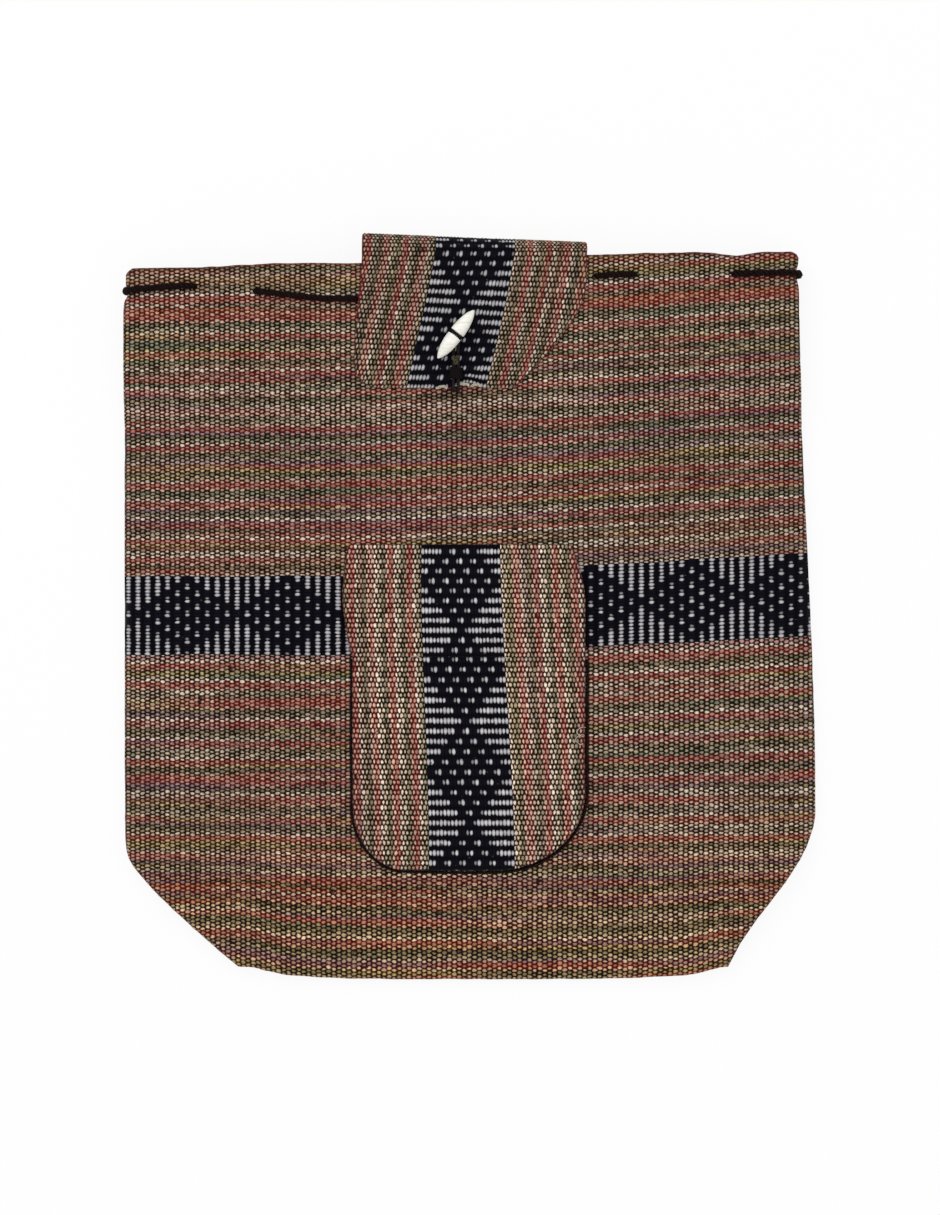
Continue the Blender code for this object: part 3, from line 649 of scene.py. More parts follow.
def polishedBone(name):
    look, tree, shader = newLook(name)
    place = tree.nodes.new("ShaderNodeTexCoord").outputs["Object"]
    turned = tree.nodes.new("ShaderNodeMapping")
    turned.inputs["Rotation"].default_value = (0, 0, -toggle["turn"])
    turned.inputs["Scale"].default_value = (60, 700, 700)
    feed(tree, place, turned.inputs["Vector"])
    grain = cloudy(tree, turned.outputs[0], 1.0, 3.0)
    mottle = cloudy(tree, place, 160.0)
    colour = blend(tree, spread(tree, grain, 0.35, 0.75), paint(247, 246, 239), paint(231, 228, 212))
    colour = blend(tree, spread(tree, mottle, 0.5, 0.75, 0.0, 0.5), colour, paint(238, 235, 220))
    finishLook(tree, shader, colour, spread(tree, grain, 0.3, 0.7, 0.30, 0.42), grain, 0.15, 0.0001)
    return look


def keep(piece, slot, *nodes, rides="bag"):
    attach(piece, rides)
    if nodes:
        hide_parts(*nodes)
    return piece


# Body panels

def rowLevels():
    # (thread count, y at the left side), two levels to a row, lowest first
    half = weave["bandRow"] / 2
    start, reach = weave["bottomRowsFrom"]
    levels = [(i / 2, weave["bandLowY"] + i * half) for i in range(2 * weave["bandRows"] + 1)]
    v, y = levels[0]
    while y > body["bottomY"]:
        low = smooth((start - y) / reach)
        v -= 0.5
        y -= (weave["lowRow"] + (weave["bottomRow"] - weave["lowRow"]) * low) / 2
        levels.insert(0, (v, max(y, body["bottomY"])))
    v, y = levels[-1]
    while y < body["mouthY"] + body["mouthTilt"] + weave["row"]:
        v += 0.5
        y += weave["row"] / 2
        levels.append((v, y))
    return levels


def rowY(x, level):
    # rows climb to the right, and follow the bottom edge low down
    share = clamp((x - weave["riseStartX"]) / (body["halfWidth"] - weave["riseStartX"]))
    start, reach = weave["riseFade"]
    rise = weave["rise"] * share ** weave["risePower"] * smooth((level - start) / reach)
    low = 1 - smooth((level - body["bottomY"]) / weave["bottomFollow"])
    return level + rise + (bottomEdge(x) - body["bottomY"]) * low


def panelPlace(inner, outer, rimInset, under):
    def place(x, level):
        v, level = level
        given = x
        along, up = weave["waverScale"]
        for _ in range(4):
            calm = smooth(min(level - body["bottomY"], body["mouthY"] - level) / weave["waverReach"])
            y = rowY(x, level) + weave["waver"] * calm * noise.noise(Vector((x * along, level * up, 2.7)))
            side = min(x - bodyLeft(y), bodyRight(y) - x)
            corner = body["rimCorner"] * (1 - smooth(side / body["rimCorner"]))
            rim = rimY(x) - rimInset + rimShape(x) - corner
            over = max(0.0, y - rim)
            y -= over
            x = max(bodyLeft(y), min(bodyRight(y), given))
        v -= over / weave["row"]
        u = (x - weave["crossX"]) / weave["bead"]
        inside = min(edgeDistance(x, y), rim - y)
        lift = threadLift(u, v, inside)
        if not under:
            lift -= drawstring["slitSink"] * slitSink(x, y)
        low, high = inner(x, y), outer(x, y)
        faces = between(low, high, edgeShare(inside), x, y)
        return (faces[::-1] if under else faces, u, v, lift, rim - y)
    return place


def makeBody():
    look = wovenCloth("striped body cloth", 11.0, 0.99, 0.85, 2.2, accentRow=93.0, underBand=True)
    first = math.floor((-body["halfWidth"] - weave["crossX"]) / weave["bead"])
    last = math.ceil((body["halfWidth"] - weave["crossX"]) / weave["bead"])
    columns = [weave["crossX"] + weave["bead"] * i for i in range(first, last + 1)]
    rows = rowLevels()
    front = weaveCloth("bodyFront", columns, rows, panelPlace(frontInner, frontOuter, 0.0, False), look)
    back = weaveCloth("bodyBack", columns, rows,
                      panelPlace(backLift, backTop, body["backRimInset"], True), look)
    keep(front, "body_cloth", "front_panel")
    keep(back, "body_cloth", "back_panel")


# Pocket and its flap

pocket = {
    "left": 0.0645, "right": 0.0630, "topY": -0.010, "bottomY": -0.1448, "areaShare": 0.96,
    "leftRound": (0.030, 0.036), "rightRound": (0.050, 0.042), "roll": 0.006, "rise": 0.0045,
    "bulge": 0.0042, "bulgeReach": 0.060, "fadeFrom": 0.006, "overReach": 0.036,
    "sideWaver": (0.0004, 0.007), "flapWaver": (0.0004, 0.006), "pipingWaver": (0.0004, 0.009),
    "flapTopY": 0.0345, "flapEndY": -0.027, "piping": 0.0010, "pipingTopY": -0.0285,
    "flapLeftFull": (0.0053, 0.12), "flapRightLean": (0.0080, 0.034),
    "bandTopX": -0.0051, "bandLowX": 0.0010, "bandRowTop": 0.00188, "bandRowLow": 0.00206,
    "row": 0.00212, "bead": 0.00280, "crossY": -0.0617, "flapBead": 0.00269, "flapCrossY": -0.0124,
    "halfThreads": (-58, 104), "pipingTwist": 0.0036,
}


def cornerInset(y, corner):
    width, height = corner
    share = clamp((pocket["bottomY"] + height - y) / height)
    return width * (1 - math.sqrt(1 - share * share))


def pocketLeft(y):
    return -pocket["left"] + cornerInset(y, pocket["leftRound"])


def pocketRight(y):
    return pocket["right"] - cornerInset(y, pocket["rightRound"])


def pocketFlapSides(y):
    # the flap stands out past the pocket at the left, and its right side leans in towards the top
    share = clamp((pocket["flapTopY"] - y) / (pocket["flapTopY"] - pocket["flapEndY"]))
    full, start = pocket["flapLeftFull"]
    lean, reach = pocket["flapRightLean"]
    high = max(0.0, 1 - (pocket["flapTopY"] - y) / reach)
    return (full * math.sin(math.pi * (start + (1 - start) * share)) + waver(y, pocket["flapWaver"], 2.2),
            -lean * high * high + waver(y, pocket["flapWaver"], 3.6))


def pocketSides(y):
    return waver(y, pocket["sideWaver"], 3.1), waver(y, pocket["sideWaver"], 8.8)


def pocketInner(x, y):
    distance = max(0.0, min(x - pocketLeft(y), pocketRight(y) - x, y - pocket["bottomY"]))
    middle = (pocket["right"] - pocket["left"]) / 2
    across = min(1.0, abs(x - middle) / ((pocket["left"] + pocket["right"]) / 2))
    up = smooth((y - pocket["bottomY"]) / pocket["bulgeReach"])
    height = pocket["rise"] * rounded(distance / pocket["roll"]) + pocket["bulge"] * up * (1 - across ** 2)
    start = pocket["topY"] + pocket["fadeFrom"]
    fade = 1 - smooth((y - start) / (pocket["flapTopY"] - start))
    return frontOuter(x, y) + cloth["gap"] + height * fade


def pocketFlapInner(x, y):
    over = cloth["body"] * (1 - smooth((y - pocket["topY"] - pocket["fadeFrom"]) / pocket["overReach"]))
    return pocketInner(x, y) + over + cloth["gap"]


def pocketPlace(inner, bead, crossY, lowY, highY, sides):
    # threads run down the pocket, and the band drifts to the right and widens
    def place(v, y):
        down = (pocket["flapTopY"] - y) / (pocket["flapTopY"] - pocket["bottomY"])
        middle = pocket["bandTopX"] + (pocket["bandLowX"] - pocket["bandTopX"]) * smooth(down)
        bandRow = pocket["bandRowTop"] + (pocket["bandRowLow"] - pocket["bandRowTop"]) * down
        x = middle + threadPlace(v, bandRow, pocket["row"])
        left, right = pocketLeft(y) - sides(y)[0], pocketRight(y) + sides(y)[1]
        x, v = heldBetween(x, v, left, right, pocket["row"])
        u = (crossY - y) / bead
        side = min(x - left, right - x)
        inside = min(side, y - lowY, highY - y)
        lift = threadLift(u, v, inside)
        low = inner(x, y)
        return (between(low, low + cloth["body"], edgeShare(inside), x, y), u, v, lift, side)
    return place


def finePlaces(low, high, bead, cross):
    # four points to a bead, from the bottom up, with both ends
    step = bead / 4
    first = math.ceil((low - cross) / step + 0.2)
    last = math.floor((high - cross) / step - 0.2)
    return [low] + [cross + step * i for i in range(first, last + 1)] + [high]


def makePocket():
    look = wovenCloth("striped pocket cloth", 27.0, 1.30, 0.32, 1.3, dotTall=0.30, faintSide=-1.0)
    threads = [v / 2 for v in range(*pocket["halfThreads"])]
    rows = finePlaces(pocket["bottomY"], pocket["topY"], pocket["bead"], pocket["crossY"])
    front = weaveCloth("pocketFront", threads, rows, pocketPlace(
        pocketInner, pocket["bead"], pocket["crossY"], pocket["bottomY"], pocket["topY"],
        pocketSides), look)
    rows = finePlaces(pocket["flapEndY"], pocket["flapTopY"], pocket["flapBead"], pocket["flapCrossY"])
    flap = weaveCloth("pocketFlapCloth", threads, rows, pocketPlace(
        pocketFlapInner, pocket["flapBead"], pocket["flapCrossY"], pocket["flapEndY"],
        pocket["flapTopY"], pocketFlapSides), look)
    keep(front, "pocket_cloth", "pocket")
    keep(flap, "pocket_cloth", "pocket_flap")


# Main flap

flap = {
    "rootY": 0.160, "turn": 0.0105, "turnSlope": 0.005, "left": 0.0590, "right": 0.0640,
    "endY": 0.1200, "lean": 0.0060, "leftRound": 0.016, "rightCut": (0.0395, 0.059, 1.4),
    "bandTopX": 0.0030, "bandLean": -0.0160, "bandRow": 0.00190, "row": 0.00205,
    "bead": 0.00261, "crossY": 0.1674, "rowTilt": 0.055, "tiltFrom": -0.010, "bandBend": 1.1,
    "turnSteps": 44, "turnLength": 0.034, "rootStep": 0.003, "flatLength": 0.148,
    "areaShare": 0.95, "halfThreads": (-64, 112),
    "notch": (-0.0014, 0.0026, 0.0055), "endReach": 0.010,
    "sideWaver": (0.0005, 0.007), "endWaver": (0.0005, 0.008),
}
loop = {
    "radius": 0.0010, "gap": 0.0006, "anchorY": 0.129, "liftReach": 0.020, "liftRamp": 0.022,
    "twist": 0.0032, "bindingY": 0.1250, "bindingTall": 0.0058, "bindingTurns": 11,
    "bindingRadius": 0.00045, "knotY": 0.1352, "knotRadius": 0.00075, "knotTwist": 0.0026,
}
toggle = {
    "x": -0.0077, "y": 0.1487, "length": 0.033, "radius": 0.00415, "waist": 0.0022, "groove": 0.0022,
    "turn": math.radians(53), "lip": 0.0005, "shoulders": (0.93, 0.99), "lobe": (2.5, 0.74, 0.08),
    "uneven": (0.035, 160), "tie": 0.0008, "tieGap": 0.0002, "tieTwist": 0.003,
}


def flapLeft(y):
    down = clamp((body["mouthY"] - y) / (body["mouthY"] - flap["endY"]))
    share = clamp((flap["endY"] + flap["leftRound"] - y) / flap["leftRound"])
    side = -flap["left"] - flap["lean"] * down + waver(y, flap["sideWaver"], 5.5)
    return side + flap["leftRound"] * (1 - math.sqrt(1 - share * share))


def flapRight(y):
    width, height, power = flap["rightCut"]
    share = clamp((flap["endY"] + height - y) / height)
    return flap["right"] + waver(y, flap["sideWaver"], 9.9) - width * share ** power


def flapEnd(x, y):
    # how far the uneven lower edge lifts the rows near it
    place, high, width = flap["notch"]
    lift = high * bump((x - place) / width) + waver(x, flap["endWaver"], 7.3)
    return lift * (1 - smooth((y - flap["endY"]) / flap["endReach"]))


def flapInner(x, y):
    across = bump((x - toggle["x"]) / loop["liftReach"])
    down = 1 - smooth((y - loop["anchorY"]) / loop["liftRamp"])
    lift = (2 * loop["radius"] + loop["gap"] + cloth["gap"]) * across * down
    return frontOuter(x, y) + cloth["gap"] + lift


def flapOuter(x, y):
    return flapInner(x, y) + cloth["flap"]


def flapStations():
    # (kind, value, distance from the crossing towards the end), from the root to the end
    rim = body["mouthY"] + body["mouthTilt"]
    toRim = rim - flap["crossY"]
    arc = flap["turnLength"]
    rootLength = rim - flap["rootY"]
    count = round(rootLength / flap["rootStep"])
    stations = [("root", flap["rootY"] + rootLength * i / count, -toRim - arc - rootLength * (1 - i / count))
                for i in range(count)]
    for i in range(flap["turnSteps"]):
        share = i / flap["turnSteps"]
        stations.append(("turn", math.pi * share, -toRim - arc * (1 - share)))
    for y in reversed(finePlaces(flap["endY"], rim, flap["bead"], flap["crossY"])):
        stations.append(("front", y, flap["crossY"] - y))
    return stations


def flapPlace(v, station):
    kind, value, travel = station
    rim = body["mouthY"] + body["mouthTilt"]
    y = value if kind == "front" else rim
    down = (rim - y) / (rim - flap["endY"])
    x = flap["bandTopX"] + threadPlace(v, flap["bandRow"], flap["row"])
    left, right = flapLeft(y), flapRight(y)
    x, v = heldBetween(x + flap["bandLean"] * down ** flap["bandBend"], v, left, right, flap["row"])
    side = inside = min(x - left, right - x)
    if kind == "front":
        # rows sag to the right in the middle of the flap
        inside = min(inside, y - flap["endY"])
        y += flapEnd(x, y) - flap["rowTilt"] * (x - flap["tiltFrom"]) * math.sin(math.pi * down) ** 2
        low, high = flapInner(x, y), flapOuter(x, y)
        faces = between(low, high, edgeShare(inside), x, y)
    else:
        under = backLift(x, rim if kind == "turn" else value) - cloth["gap"]
        if kind == "root":
            inside = min(inside, value - flap["rootY"])
            faces = between(under - cloth["flap"], under, edgeShare(inside), x, value)[::-1]
        else:
            low = under - cloth["flap"]
            middle = (low + flapOuter(x, rim)) / 2
            share = (x + flap["left"]) / (flap["left"] + flap["right"])
            reach = flap["turn"] - flap["turnSlope"] * share
            outer = Vector((x, rim + reach * math.sin(value), middle - (middle - low) * math.cos(value)))
            inner = Vector((x, rim + (reach - cloth["flap"]) * math.sin(value),
                            middle - (middle - low - cloth["flap"]) * math.cos(value)))
            centre = (outer + inner) / 2
            half = (outer - inner) / 2 * edgeShare(inside)
            faces = (centre + half, centre - half)
    u = travel / flap["bead"]
    return (faces, u, v, threadLift(u, v, inside), side)


def makeFlap():
    look = wovenCloth("striped flap cloth", 52.0, 0.93, 0.32, 0.9, dotTall=0.30, faintSide=-1.0)
    threads = [v / 2 for v in range(*flap["halfThreads"])]
    piece = weaveCloth("mainFlapCloth", threads, flapStations(), flapPlace, look)
    keep(piece, "flap_cloth", "main_flap")


# Cords

def curvedPath(points, step):
    # even steps along a smooth curve through the points
    points = [Vector(p) for p in points]
    ends = [2 * points[0] - points[1]] + points + [2 * points[-1] - points[-2]]
    fine = []
    for a, b, c, d in zip(ends, ends[1:], ends[2:], ends[3:]):
        pieces = max(2, math.ceil((c - b).length / step))
        for i in range(pieces):
            t = i / pieces
            fine.append(0.5 * (2 * b + (c - a) * t + (2 * a - 5 * b + 4 * c - d) * t * t
                               + (3 * b - a - 3 * c + d) * t ** 3))
    fine.append(points[-1])
    return fine


def twistedCord(name, path, radius, look, strands=2, twist=0.005, sides=1, loose=0.0):
    # strands wound round the path, each a tube of its own
    curve = bpy.data.curves.new(name, "CURVE")
    curve.dimensions = "3D"
    fine = radius / (1 + math.sin(math.pi / strands)) if strands > 1 else 0.0
    thick = radius - fine if strands > 1 else radius
    curve.bevel_depth = thick * 1.06
    curve.bevel_resolution = sides
    curve.use_fill_caps = True
    lines = [curve.splines.new("POLY") for _ in range(strands)]
    for line in lines:
        line.points.add(len(path) - 1)
    side = Vector((0, 0, 1))
    turn = 0.0
    for i, centre in enumerate(path):
        along = (path[min(i + 1, len(path) - 1)] - path[max(i - 1, 0)]).normalized()
        side = (side - along * side.dot(along)).normalized()
        other = along.cross(side)
        if i:
            turn += 2 * math.pi * (centre - path[i - 1]).length / twist
        for k, line in enumerate(lines):
            angle = turn + 2 * math.pi * k / strands
            away = fine * (1 + loose * math.sin(3.7 * turn))
            off = (side * math.cos(angle) + other * math.sin(angle)) * away
            line.points[i].co = (*(centre + off), 1)
    curve.materials.append(look)
    print(name, len(path), "points")
    return addObject(name, curve)


def trefoil(centre, wide, tall, high, full, count):
    # overhand knot, flattened
    x, y, z = centre
    turns = [2 * math.pi * i / count for i in range(count + 1)]
    return [Vector((x + wide * (math.sin(t) + full * math.sin(2 * t)),
                    y + tall * (math.cos(t) - full * math.cos(2 * t)),
                    z - high * math.sin(3 * t))) for t in turns]


def frontCordHeight(x, y):
    above = 1.0
    for number, slit in enumerate(drawstring["slits"]):
        cross = smooth((x - slit) / drawstring["slitLength"] + 0.5)
        above += cross * (1 if number % 2 else -1)
    off = drawstring["fine"] + cloth["gap"]
    outside = frontOuter(x, y) + off
    inside = frontInner(x, y) - off
    return inside + (outside - inside) * above


def backCordPoint(side, x):
    inside = 1 - smooth((x - drawstring["backSlitX"]) / drawstring["slitLength"] + 0.5)
    outerY = cordY(side * body["halfWidth"])
    start, reach = drawstring["backBend"]
    bend = smooth((x - drawstring["backSlitX"] + start) / reach)
    y = drawstring["backY"] + (outerY - drawstring["backY"]) * bend
    high = backTop(side * x, y) + drawstring["gap"] + drawstring["radius"]
    low = drawstring["radius"] + cloth["gap"]
    return (side * x, y, low + (high - low) * inside)


def sideWrap(side):
    # round the side of the bag, from the front to the back
    y = cordY(side * body["halfWidth"])
    edge = abs(bodyLeft(y) if side < 0 else bodyRight(y))
    off = drawstring["fine"] + cloth["gap"]
    low = backLift(side * edge, y)
    high = frontOuter(side * edge, y)
    top = frontOuter(side * (edge - body["edgeRoll"]), y) + off
    return edge, [(side * (edge - 0.4 * body["edgeRoll"]), y, top + cloth["gap"]),
                  (side * (edge + 0.6 * off), y, 0.5 * (high + top) + 0.3 * off),
                  (side * (edge + off), y, 0.5 * (low + high)),
                  (side * (edge + 0.75 * off), y, low - 0.75 * off),
                  (side * (edge - 0.006), y, drawstring["radius"] + cloth["gap"])]


def makeDrawstring():
    look = fibreCord("dark maroon cord", (4, 2, 2), (34, 17, 15), 1300.0)
    longKnot, wideKnot, highKnot = drawstring["knot"]
    knotY = cordY(0)
    knotZ = frontInner(0, knotY) - 2 * cloth["gap"] - highKnot / 2
    reach = longKnot / 2 + cloth["gap"]
    leftEdge, leftWrap = sideWrap(-1)
    rightEdge, rightWrap = sideWrap(1)
    line = []
    leftInset, rightInset = drawstring["frontInset"]
    x = leftInset - leftEdge
    while x < rightEdge - rightInset:
        if abs(x) > reach + 0.008:
            line.append((x, cordY(x), frontCordHeight(x, cordY(x))))
        x += drawstring["frontStep"]
    left = [p for p in line if p[0] < 0]
    right = [p for p in line if p[0] > 0]
    backRight, backLeft = [
        [backCordPoint(side, edge - drawstring["backInset"] - drawstring["backStep"] * i) for i in range(32)]
        for side, edge in ((1, rightEdge), (-1, leftEdge))]
    start = [(reach, knotY, knotZ), (reach + 0.004, knotY, knotZ)]
    end = [(-reach - 0.004, knotY, knotZ), (-reach, knotY, knotZ)]
    route = start + right + rightWrap + backRight + backLeft[::-1] + leftWrap[::-1] + left + end
    path = curvedPath(route, drawstring["step"])
    cord = twistedCord("drawstringCord", path, drawstring["fine"], look,
                       drawstring["strands"], drawstring["twist"], loose=drawstring["loose"])
    keep(cord, "dark_cord", "drawstring")
    knot = trefoil((0, knotY, knotZ), 0.30 * longKnot / 1.9, 0.24 * wideKnot, 0.22 * highKnot, 1.15, 96)
    tied = twistedCord("drawstringKnotCord", knot, drawstring["fine"], look, 2, drawstring["knotTwist"])
    keep(tied, "dark_cord", "drawstring_knot")


def makeToggle():
    # the CAD axis keeps its height, so the piece takes it from the joint
    axis = Vector(next(j for j in frame["joints"] if j["name"] == "toggle_swivel")["pos_m"])
    half = toggle["length"] / 2
    groove = toggle["groove"] / 2
    radius = toggle["radius"]
    start = groove + toggle["lip"]
    low, high = toggle["shoulders"]
    power, blunt, taper = toggle["lobe"]
    profile = [(groove, toggle["waist"]), (groove + 0.0001, low * radius), (start, high * radius)]
    for i in range(1, 25):
        t = i / 24
        profile.append((start + (half - start) * t,
                        radius * high * (1 - t ** power) ** blunt * (1 - taper * t)))
    line = [(-a, r) for a, r in reversed(profile)] + profile
    shape = bmesh.new()
    verts = [shape.verts.new((a, 0, r)) for a, r in line]
    edges = [shape.edges.new(pair) for pair in zip(verts, verts[1:])]
    bmesh.ops.spin(shape, geom=verts + edges, cent=(0, 0, 0), axis=(1, 0, 0),
                   angle=2 * math.pi, steps=40, use_merge=True)
    bmesh.ops.remove_doubles(shape, verts=shape.verts, dist=1e-6)
    bmesh.ops.recalc_face_normals(shape, faces=shape.faces)
    # carved by hand, so it is a little uneven
    most, scale = toggle["uneven"]
    for vert in shape.verts:
        uneven = 1 + most * noise.noise(vert.co * scale)
        vert.co.y *= uneven
        vert.co.z *= uneven
    turned = Matrix.Translation(axis) @ Matrix.Rotation(toggle["turn"], 4, "Z")
    bmesh.ops.transform(shape, matrix=turned, verts=shape.verts)
    piece = addMesh("bonePin", shape, polishedBone("polished bone"))
    piece.data.set_sharp_from_angle(angle=math.radians(50))
    keep(piece, "bone", "toggle", rides="toggle")
    # thin cord wound twice round the waist, and its stem down to the flap
    dark = fibreCord("black thread", (14, 11, 12), (38, 32, 34), 1500.0)
    ring = toggle["waist"] + toggle["tieGap"] + toggle["tie"]
    points = []
    for i in range(50):
        angle = 2 * math.pi * 2 * i / 48 + math.pi
        along = 0.0007 * (i / 48 - 0.5)
        points.append(turned @ Vector((along, ring * math.sin(angle), ring * math.cos(angle))))
    floor = flapOuter(toggle["x"], toggle["y"]) + cloth["gap"]
    points += [turned @ Vector((0.0004, 0.0002, -ring - 0.0002)), Vector((axis.x, axis.y, floor))]
    tie = twistedCord("pinTie", points, toggle["tie"], dark, 2, toggle["tieTwist"])
    keep(tie, "dark_cord", "toggle_tie", rides="toggle")


def makeLoop():
    look = fibreCord("loop cord", (17, 13, 15), (52, 44, 46), 1300.0)
    side = loop["radius"] + cloth["gap"]
    ring = toggle["tie"] + cloth["gap"] + loop["radius"]
    off = loop["radius"] + loop["gap"]
    x = toggle["x"]
    edge = flap["endY"]
    strand = [(y, frontOuter(x, y) + cloth["gap"] + loop["radius"])
              for y in (loop["anchorY"], loop["anchorY"] - 0.004, edge + cloth["gap"])]
    low, high = flapInner(x, edge), flapOuter(x, edge)
    strand += [(edge - 0.8 * off, low - 0.75 * off), (edge - 1.1 * off, (low + high) / 2),
               (edge - 0.8 * off, high + 0.75 * off)]
    for share in (0.05, 0.2, 0.4, 0.6, 0.8):
        y = edge + (toggle["y"] - ring - edge) * share
        strand.append((y, flapOuter(x, y) + off))
    top = flapOuter(x, toggle["y"]) + off
    right = [(x + side, y, z) for y, z in strand]
    turn = [(x + ring * math.cos(a), toggle["y"] + ring * math.sin(a), top)
            for a in [math.radians(d) for d in (-25, 25, 90, 155, 205)]]
    left = [(x - side, y, z) for y, z in reversed(strand)]
    path = curvedPath(right + turn + left, 0.0006)
    cord = twistedCord("closingLoopCord", path, loop["radius"], look, 2, loop["twist"])
    keep(cord, "loop_cord", "closing_loop")
    # maroon binding round both strands
    maroon = fibreCord("maroon binding", (6, 4, 6), (26, 15, 18), 1500.0)
    wound = []
    count = 12 * loop["bindingTurns"]
    for i in range(count + 1):
        angle = 2 * math.pi * i / 12
        y = loop["bindingY"] + loop["bindingTall"] * i / count
        wound.append(Vector((x + (side + off + 0.0002) * math.sin(angle), y,
                             flapOuter(x, y) + off + (off + 0.0001) * math.cos(angle))))
    bound = twistedCord("loopBinding", wound, loop["bindingRadius"], maroon, 1)
    keep(bound, "loop_cord")
    # olive knot between the binding and the pin
    olive = fibreCord("olive yarn", (40, 38, 30), (98, 92, 72), 1200.0)
    y = loop["knotY"]
    centre = (x, y, flapOuter(x, y) + 2 * loop["radius"] + 0.0011)
    knot = trefoil(centre, 0.0012 / 1.6, 0.0015 / 1.6, 0.0007, 1.6, 72)
    keep(twistedCord("loopKnot", knot, loop["knotRadius"], olive, 2, loop["knotTwist"]), "loop_cord")


def makePiping():
    look = fibreCord("black piping", (8, 5, 5), (38, 24, 22), 1100.0)
    points = []
    for side, (wide, tall), edge, off in ((-1, pocket["leftRound"], pocket["left"], 0.5 * pocket["piping"]),
                                          (1, pocket["rightRound"], pocket["right"], pocket["piping"])):
        turn = pocket["bottomY"] + tall
        top = pocket["pipingTopY"]
        line = [(side * (edge + off), top + (turn - top) * i / 10) for i in range(11)]
        line += [(side * (edge - wide + (wide + off) * math.cos(a)), turn - (tall + off) * math.sin(a))
                 for a in [math.radians(d) for d in (15, 30, 45, 60, 75, 90)]]
        points += line if side < 0 else [(-0.010, pocket["bottomY"] - off)] + line[::-1]
    uneven = pocket["pipingWaver"]
    points = [(x + waver(y, uneven, 4.4), y + waver(x, uneven, 5.4)) for x, y in points]
    points = [(x, y, frontOuter(x, y) + cloth["gap"] + pocket["piping"]) for x, y in points]
    cord = twistedCord("pocketEdgeCord", curvedPath(points, 0.0009), pocket["piping"], look, 2,
                       pocket["pipingTwist"])
    keep(cord, "dark_cord", "pocket_piping")


# Straps, flat under the back

def makeStraps():
    look = wovenCloth("striped strap cloth", 71.0, 0.95, 0.6, 0.9)
    start = Vector(strap["top"])
    along = Vector(strap["end"]) - start
    acrossWay = Vector((-along.y, along.x)).normalized()
    count = round(along.length / (strap["bead"] / 2))
    rows = [i / count for i in range(count + 1)]
    first = strap["firstThread"]
    threads = [first + 0.5 * i for i in range(math.ceil(strap["width"] / strap["row"]) * 2 + 1)]
    for name, side, node in (("strapLeft", -1, "strap_left"), ("strapRight", 1, "strap_right")):
        def place(v, share):
            offset = min((v - first) * strap["row"], strap["width"])
            middle = start + along * share + acrossWay * (strap["width"] / 2 - offset)
            v = first + offset / strap["row"]
            u = along.length * share / strap["bead"]
            inside = min(offset, strap["width"] - offset, along.length * min(share, 1 - share))
            faces = between(0.0, cloth["strap"], edgeShare(inside), side * middle.x, middle.y)
            lift = weave["relief"] * (beadRelief(u, v) - 0.5) * min(1.0, inside / weave["reliefReach"])
            return (faces[::-1], u, v, lift, inside)
        piece = weaveCloth(name, threads, rows, place, look)
        keep(piece, "strap_cloth", node)


# Loose yarn that the photograph shows

yarn = {
    "frayed": (0.0608, -0.0700, 0.00030, 0.0016), "endThick": (0.00085, 0.0042), "fine": (0.00024, 0.0016),
    # x, y and width of each
    "flapEnds": ((-0.0155, 0.1198, 0.0060), (-0.0045, 0.1213, 0.0080), (0.0035, 0.1207, 0.0055)),
    "pocketEnds": ((-0.0295, 0.0060), (0.0190, 0.0045)),
}


def addYarn(name, points, thickness, look, strands=2):
    radius, twist = thickness
    keep(twistedCord(name, curvedPath(points, 0.0005), radius, look, strands, twist), "loop_cord")


def makeLooseYarn():
    pale = fibreCord("pale yarn", (150, 144, 128), (214, 208, 192), 1400.0)
    random.seed(5)
    x, y, *thickness = yarn["frayed"]
    points = []
    for i in range(15):
        angle = 0.9 * i + random.uniform(-0.4, 0.4)
        px = x + 0.0022 * math.cos(angle) - 0.0001 * i
        py = y + 0.0042 - 0.0006 * i + 0.0012 * math.sin(angle)
        high = 0.0007 + 0.0006 * math.sin(2.1 * i) ** 2
        points.append((px, py, pocketInner(px, py) + cloth["body"] + high))
    addYarn("frayedThread", points, thickness, pale)
    shares = [i / 6 for i in range(7)]
    for number, (x, y, width) in enumerate(yarn["flapEnds"]):
        points = []
        for t in shares:
            px = x + width * (t - 0.5)
            arch = math.sin(math.pi * t)
            py = y + 0.0009 * arch + random.uniform(-0.0002, 0.0002)
            points.append((px, py, flapOuter(px, flap["endY"] + 0.0012) - 0.0004 + 0.0005 * arch))
        addYarn("flapEndYarn%d" % number, points, yarn["endThick"], pale, 3)
    for number, (x, width) in enumerate(yarn["pocketEnds"]):
        points = []
        for t in shares:
            px = x + width * (t - 0.5)
            py = pocket["flapEndY"] + random.uniform(-0.0009, 0.0007)
            high = cloth["body"] + 0.0003 * math.sin(math.pi * t)
            points.append((px, py, pocketFlapInner(px, py) + high))
        addYarn("pocketFlapYarn%d" % number, points, yarn["fine"], pale)


# Floor, light and camera

studio = {"view": (0.5177, 0.669), "focus": (0.0, 0.0, 0.012), "lens": 85, "sensor": 36,
          "floor": (250, 250, 250), "sky": 0.76, "lamp": 8.6, "fill": 3.8, "glow": 0.88}


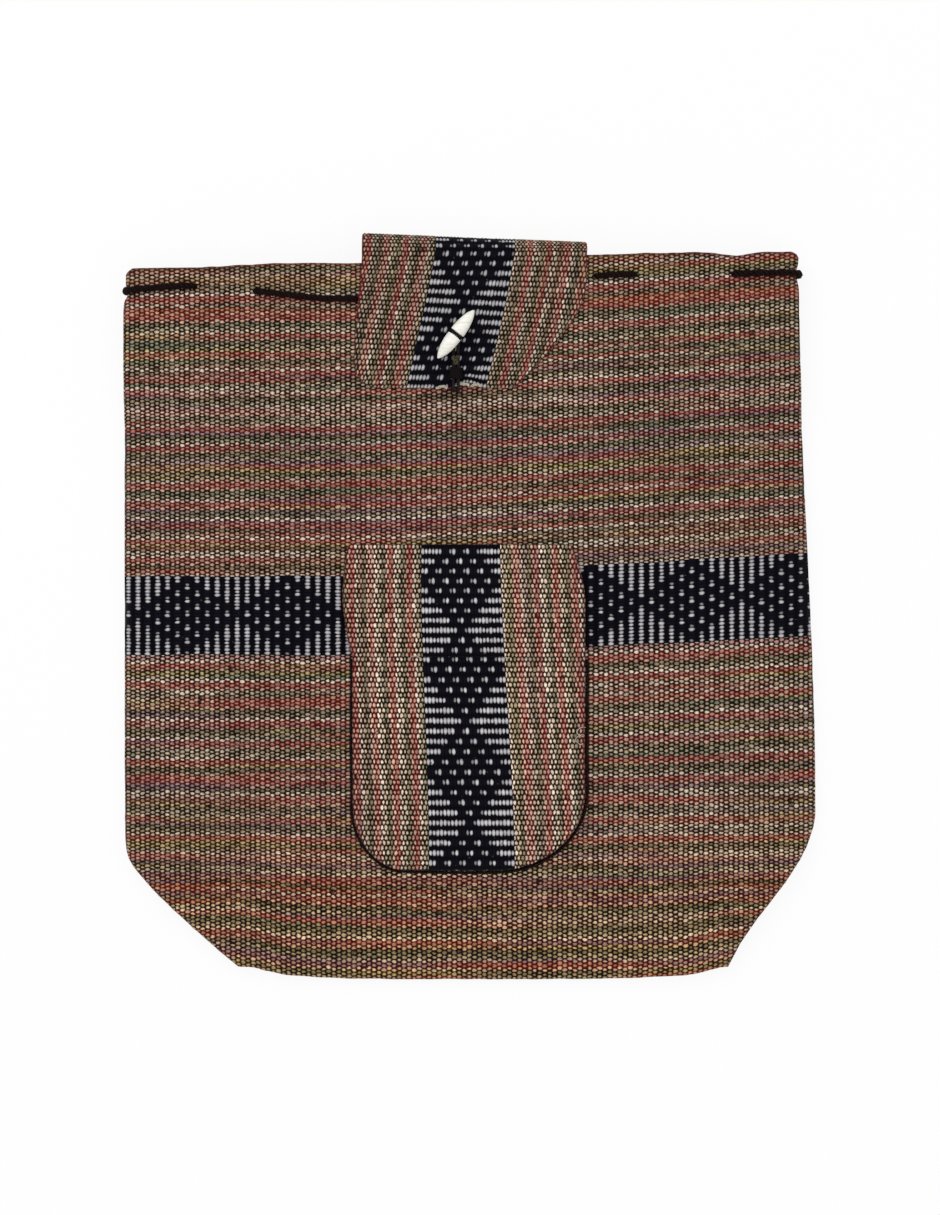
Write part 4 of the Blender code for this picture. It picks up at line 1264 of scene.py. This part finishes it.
def makeStudio():
    shape = bmesh.new()
    bmesh.ops.create_grid(shape, x_segments=1, y_segments=1, size=3.0)
    bmesh.ops.translate(shape, vec=(0, 0, cadBox[0][2] - 0.0006), verts=shape.verts)
    look, tree, shader = newLook("pale floor")
    shader.inputs["Base Color"].default_value = paint(*studio["floor"])
    shader.inputs["Roughness"].default_value = 0.9
    glow = tree.nodes.new("ShaderNodeEmission")
    path = tree.nodes.new("ShaderNodeLightPath")
    seen = calc(tree, "MAXIMUM", path.outputs["Is Camera Ray"], path.outputs["Is Glossy Ray"])
    mixed = tree.nodes.new("ShaderNodeMixShader")
    feed(tree, times(tree, seen, studio["glow"]), mixed.inputs[0])
    feed(tree, shader.outputs[0], mixed.inputs[1])
    feed(tree, glow.outputs[0], mixed.inputs[2])
    feed(tree, mixed.outputs[0], tree.nodes["Material Output"].inputs["Surface"])
    addMesh("floor", shape, look)
    world = bpy.data.worlds.new("studio")
    bpy.context.scene.world = world
    world.use_nodes = True
    sky = world.node_tree
    background = sky.nodes["Background"]
    background.inputs["Color"].default_value = (1, 1, 1, 1)
    rays = sky.nodes.new("ShaderNodeLightPath")
    seen = calc(sky, "MAXIMUM", rays.outputs["Is Camera Ray"], rays.outputs["Is Glossy Ray"])
    strength = calc(sky, "MULTIPLY_ADD", seen, 1 - studio["sky"], studio["sky"])
    feed(sky, strength, background.inputs["Strength"])
    for name, place, power, size in (("keyLamp", (-0.7, 0.9, 1.5), studio["lamp"], 1.2),
                                     ("fillLamp", (0.9, -0.5, 1.6), studio["fill"], 1.5)):
        lamp = bpy.data.lights.new(name, "AREA")
        lamp.energy = power
        lamp.size = size
        item = addObject(name, lamp)
        item.location = place
        item.rotation_euler = (-Vector(place)).to_track_quat("-Z", "Y").to_euler()
    camera = bpy.data.cameras.new("camera")
    camera.lens = studio["lens"]
    camera.sensor_width = studio["sensor"]
    item = addObject("camera", camera)
    distance = studio["view"][1] * studio["lens"] / studio["sensor"]
    item.location = Vector(studio["focus"]) + Vector((0, 0, distance))
    bpy.context.scene.camera = item
    bpy.context.scene.view_settings.view_transform = "Standard"


makeStudio()
makeStraps()
makeBody()
makePocket()
makeFlap()
makeDrawstring()
makeToggle()
makeLoop()
makePiping()
makeLooseYarn()
print("all pieces made")
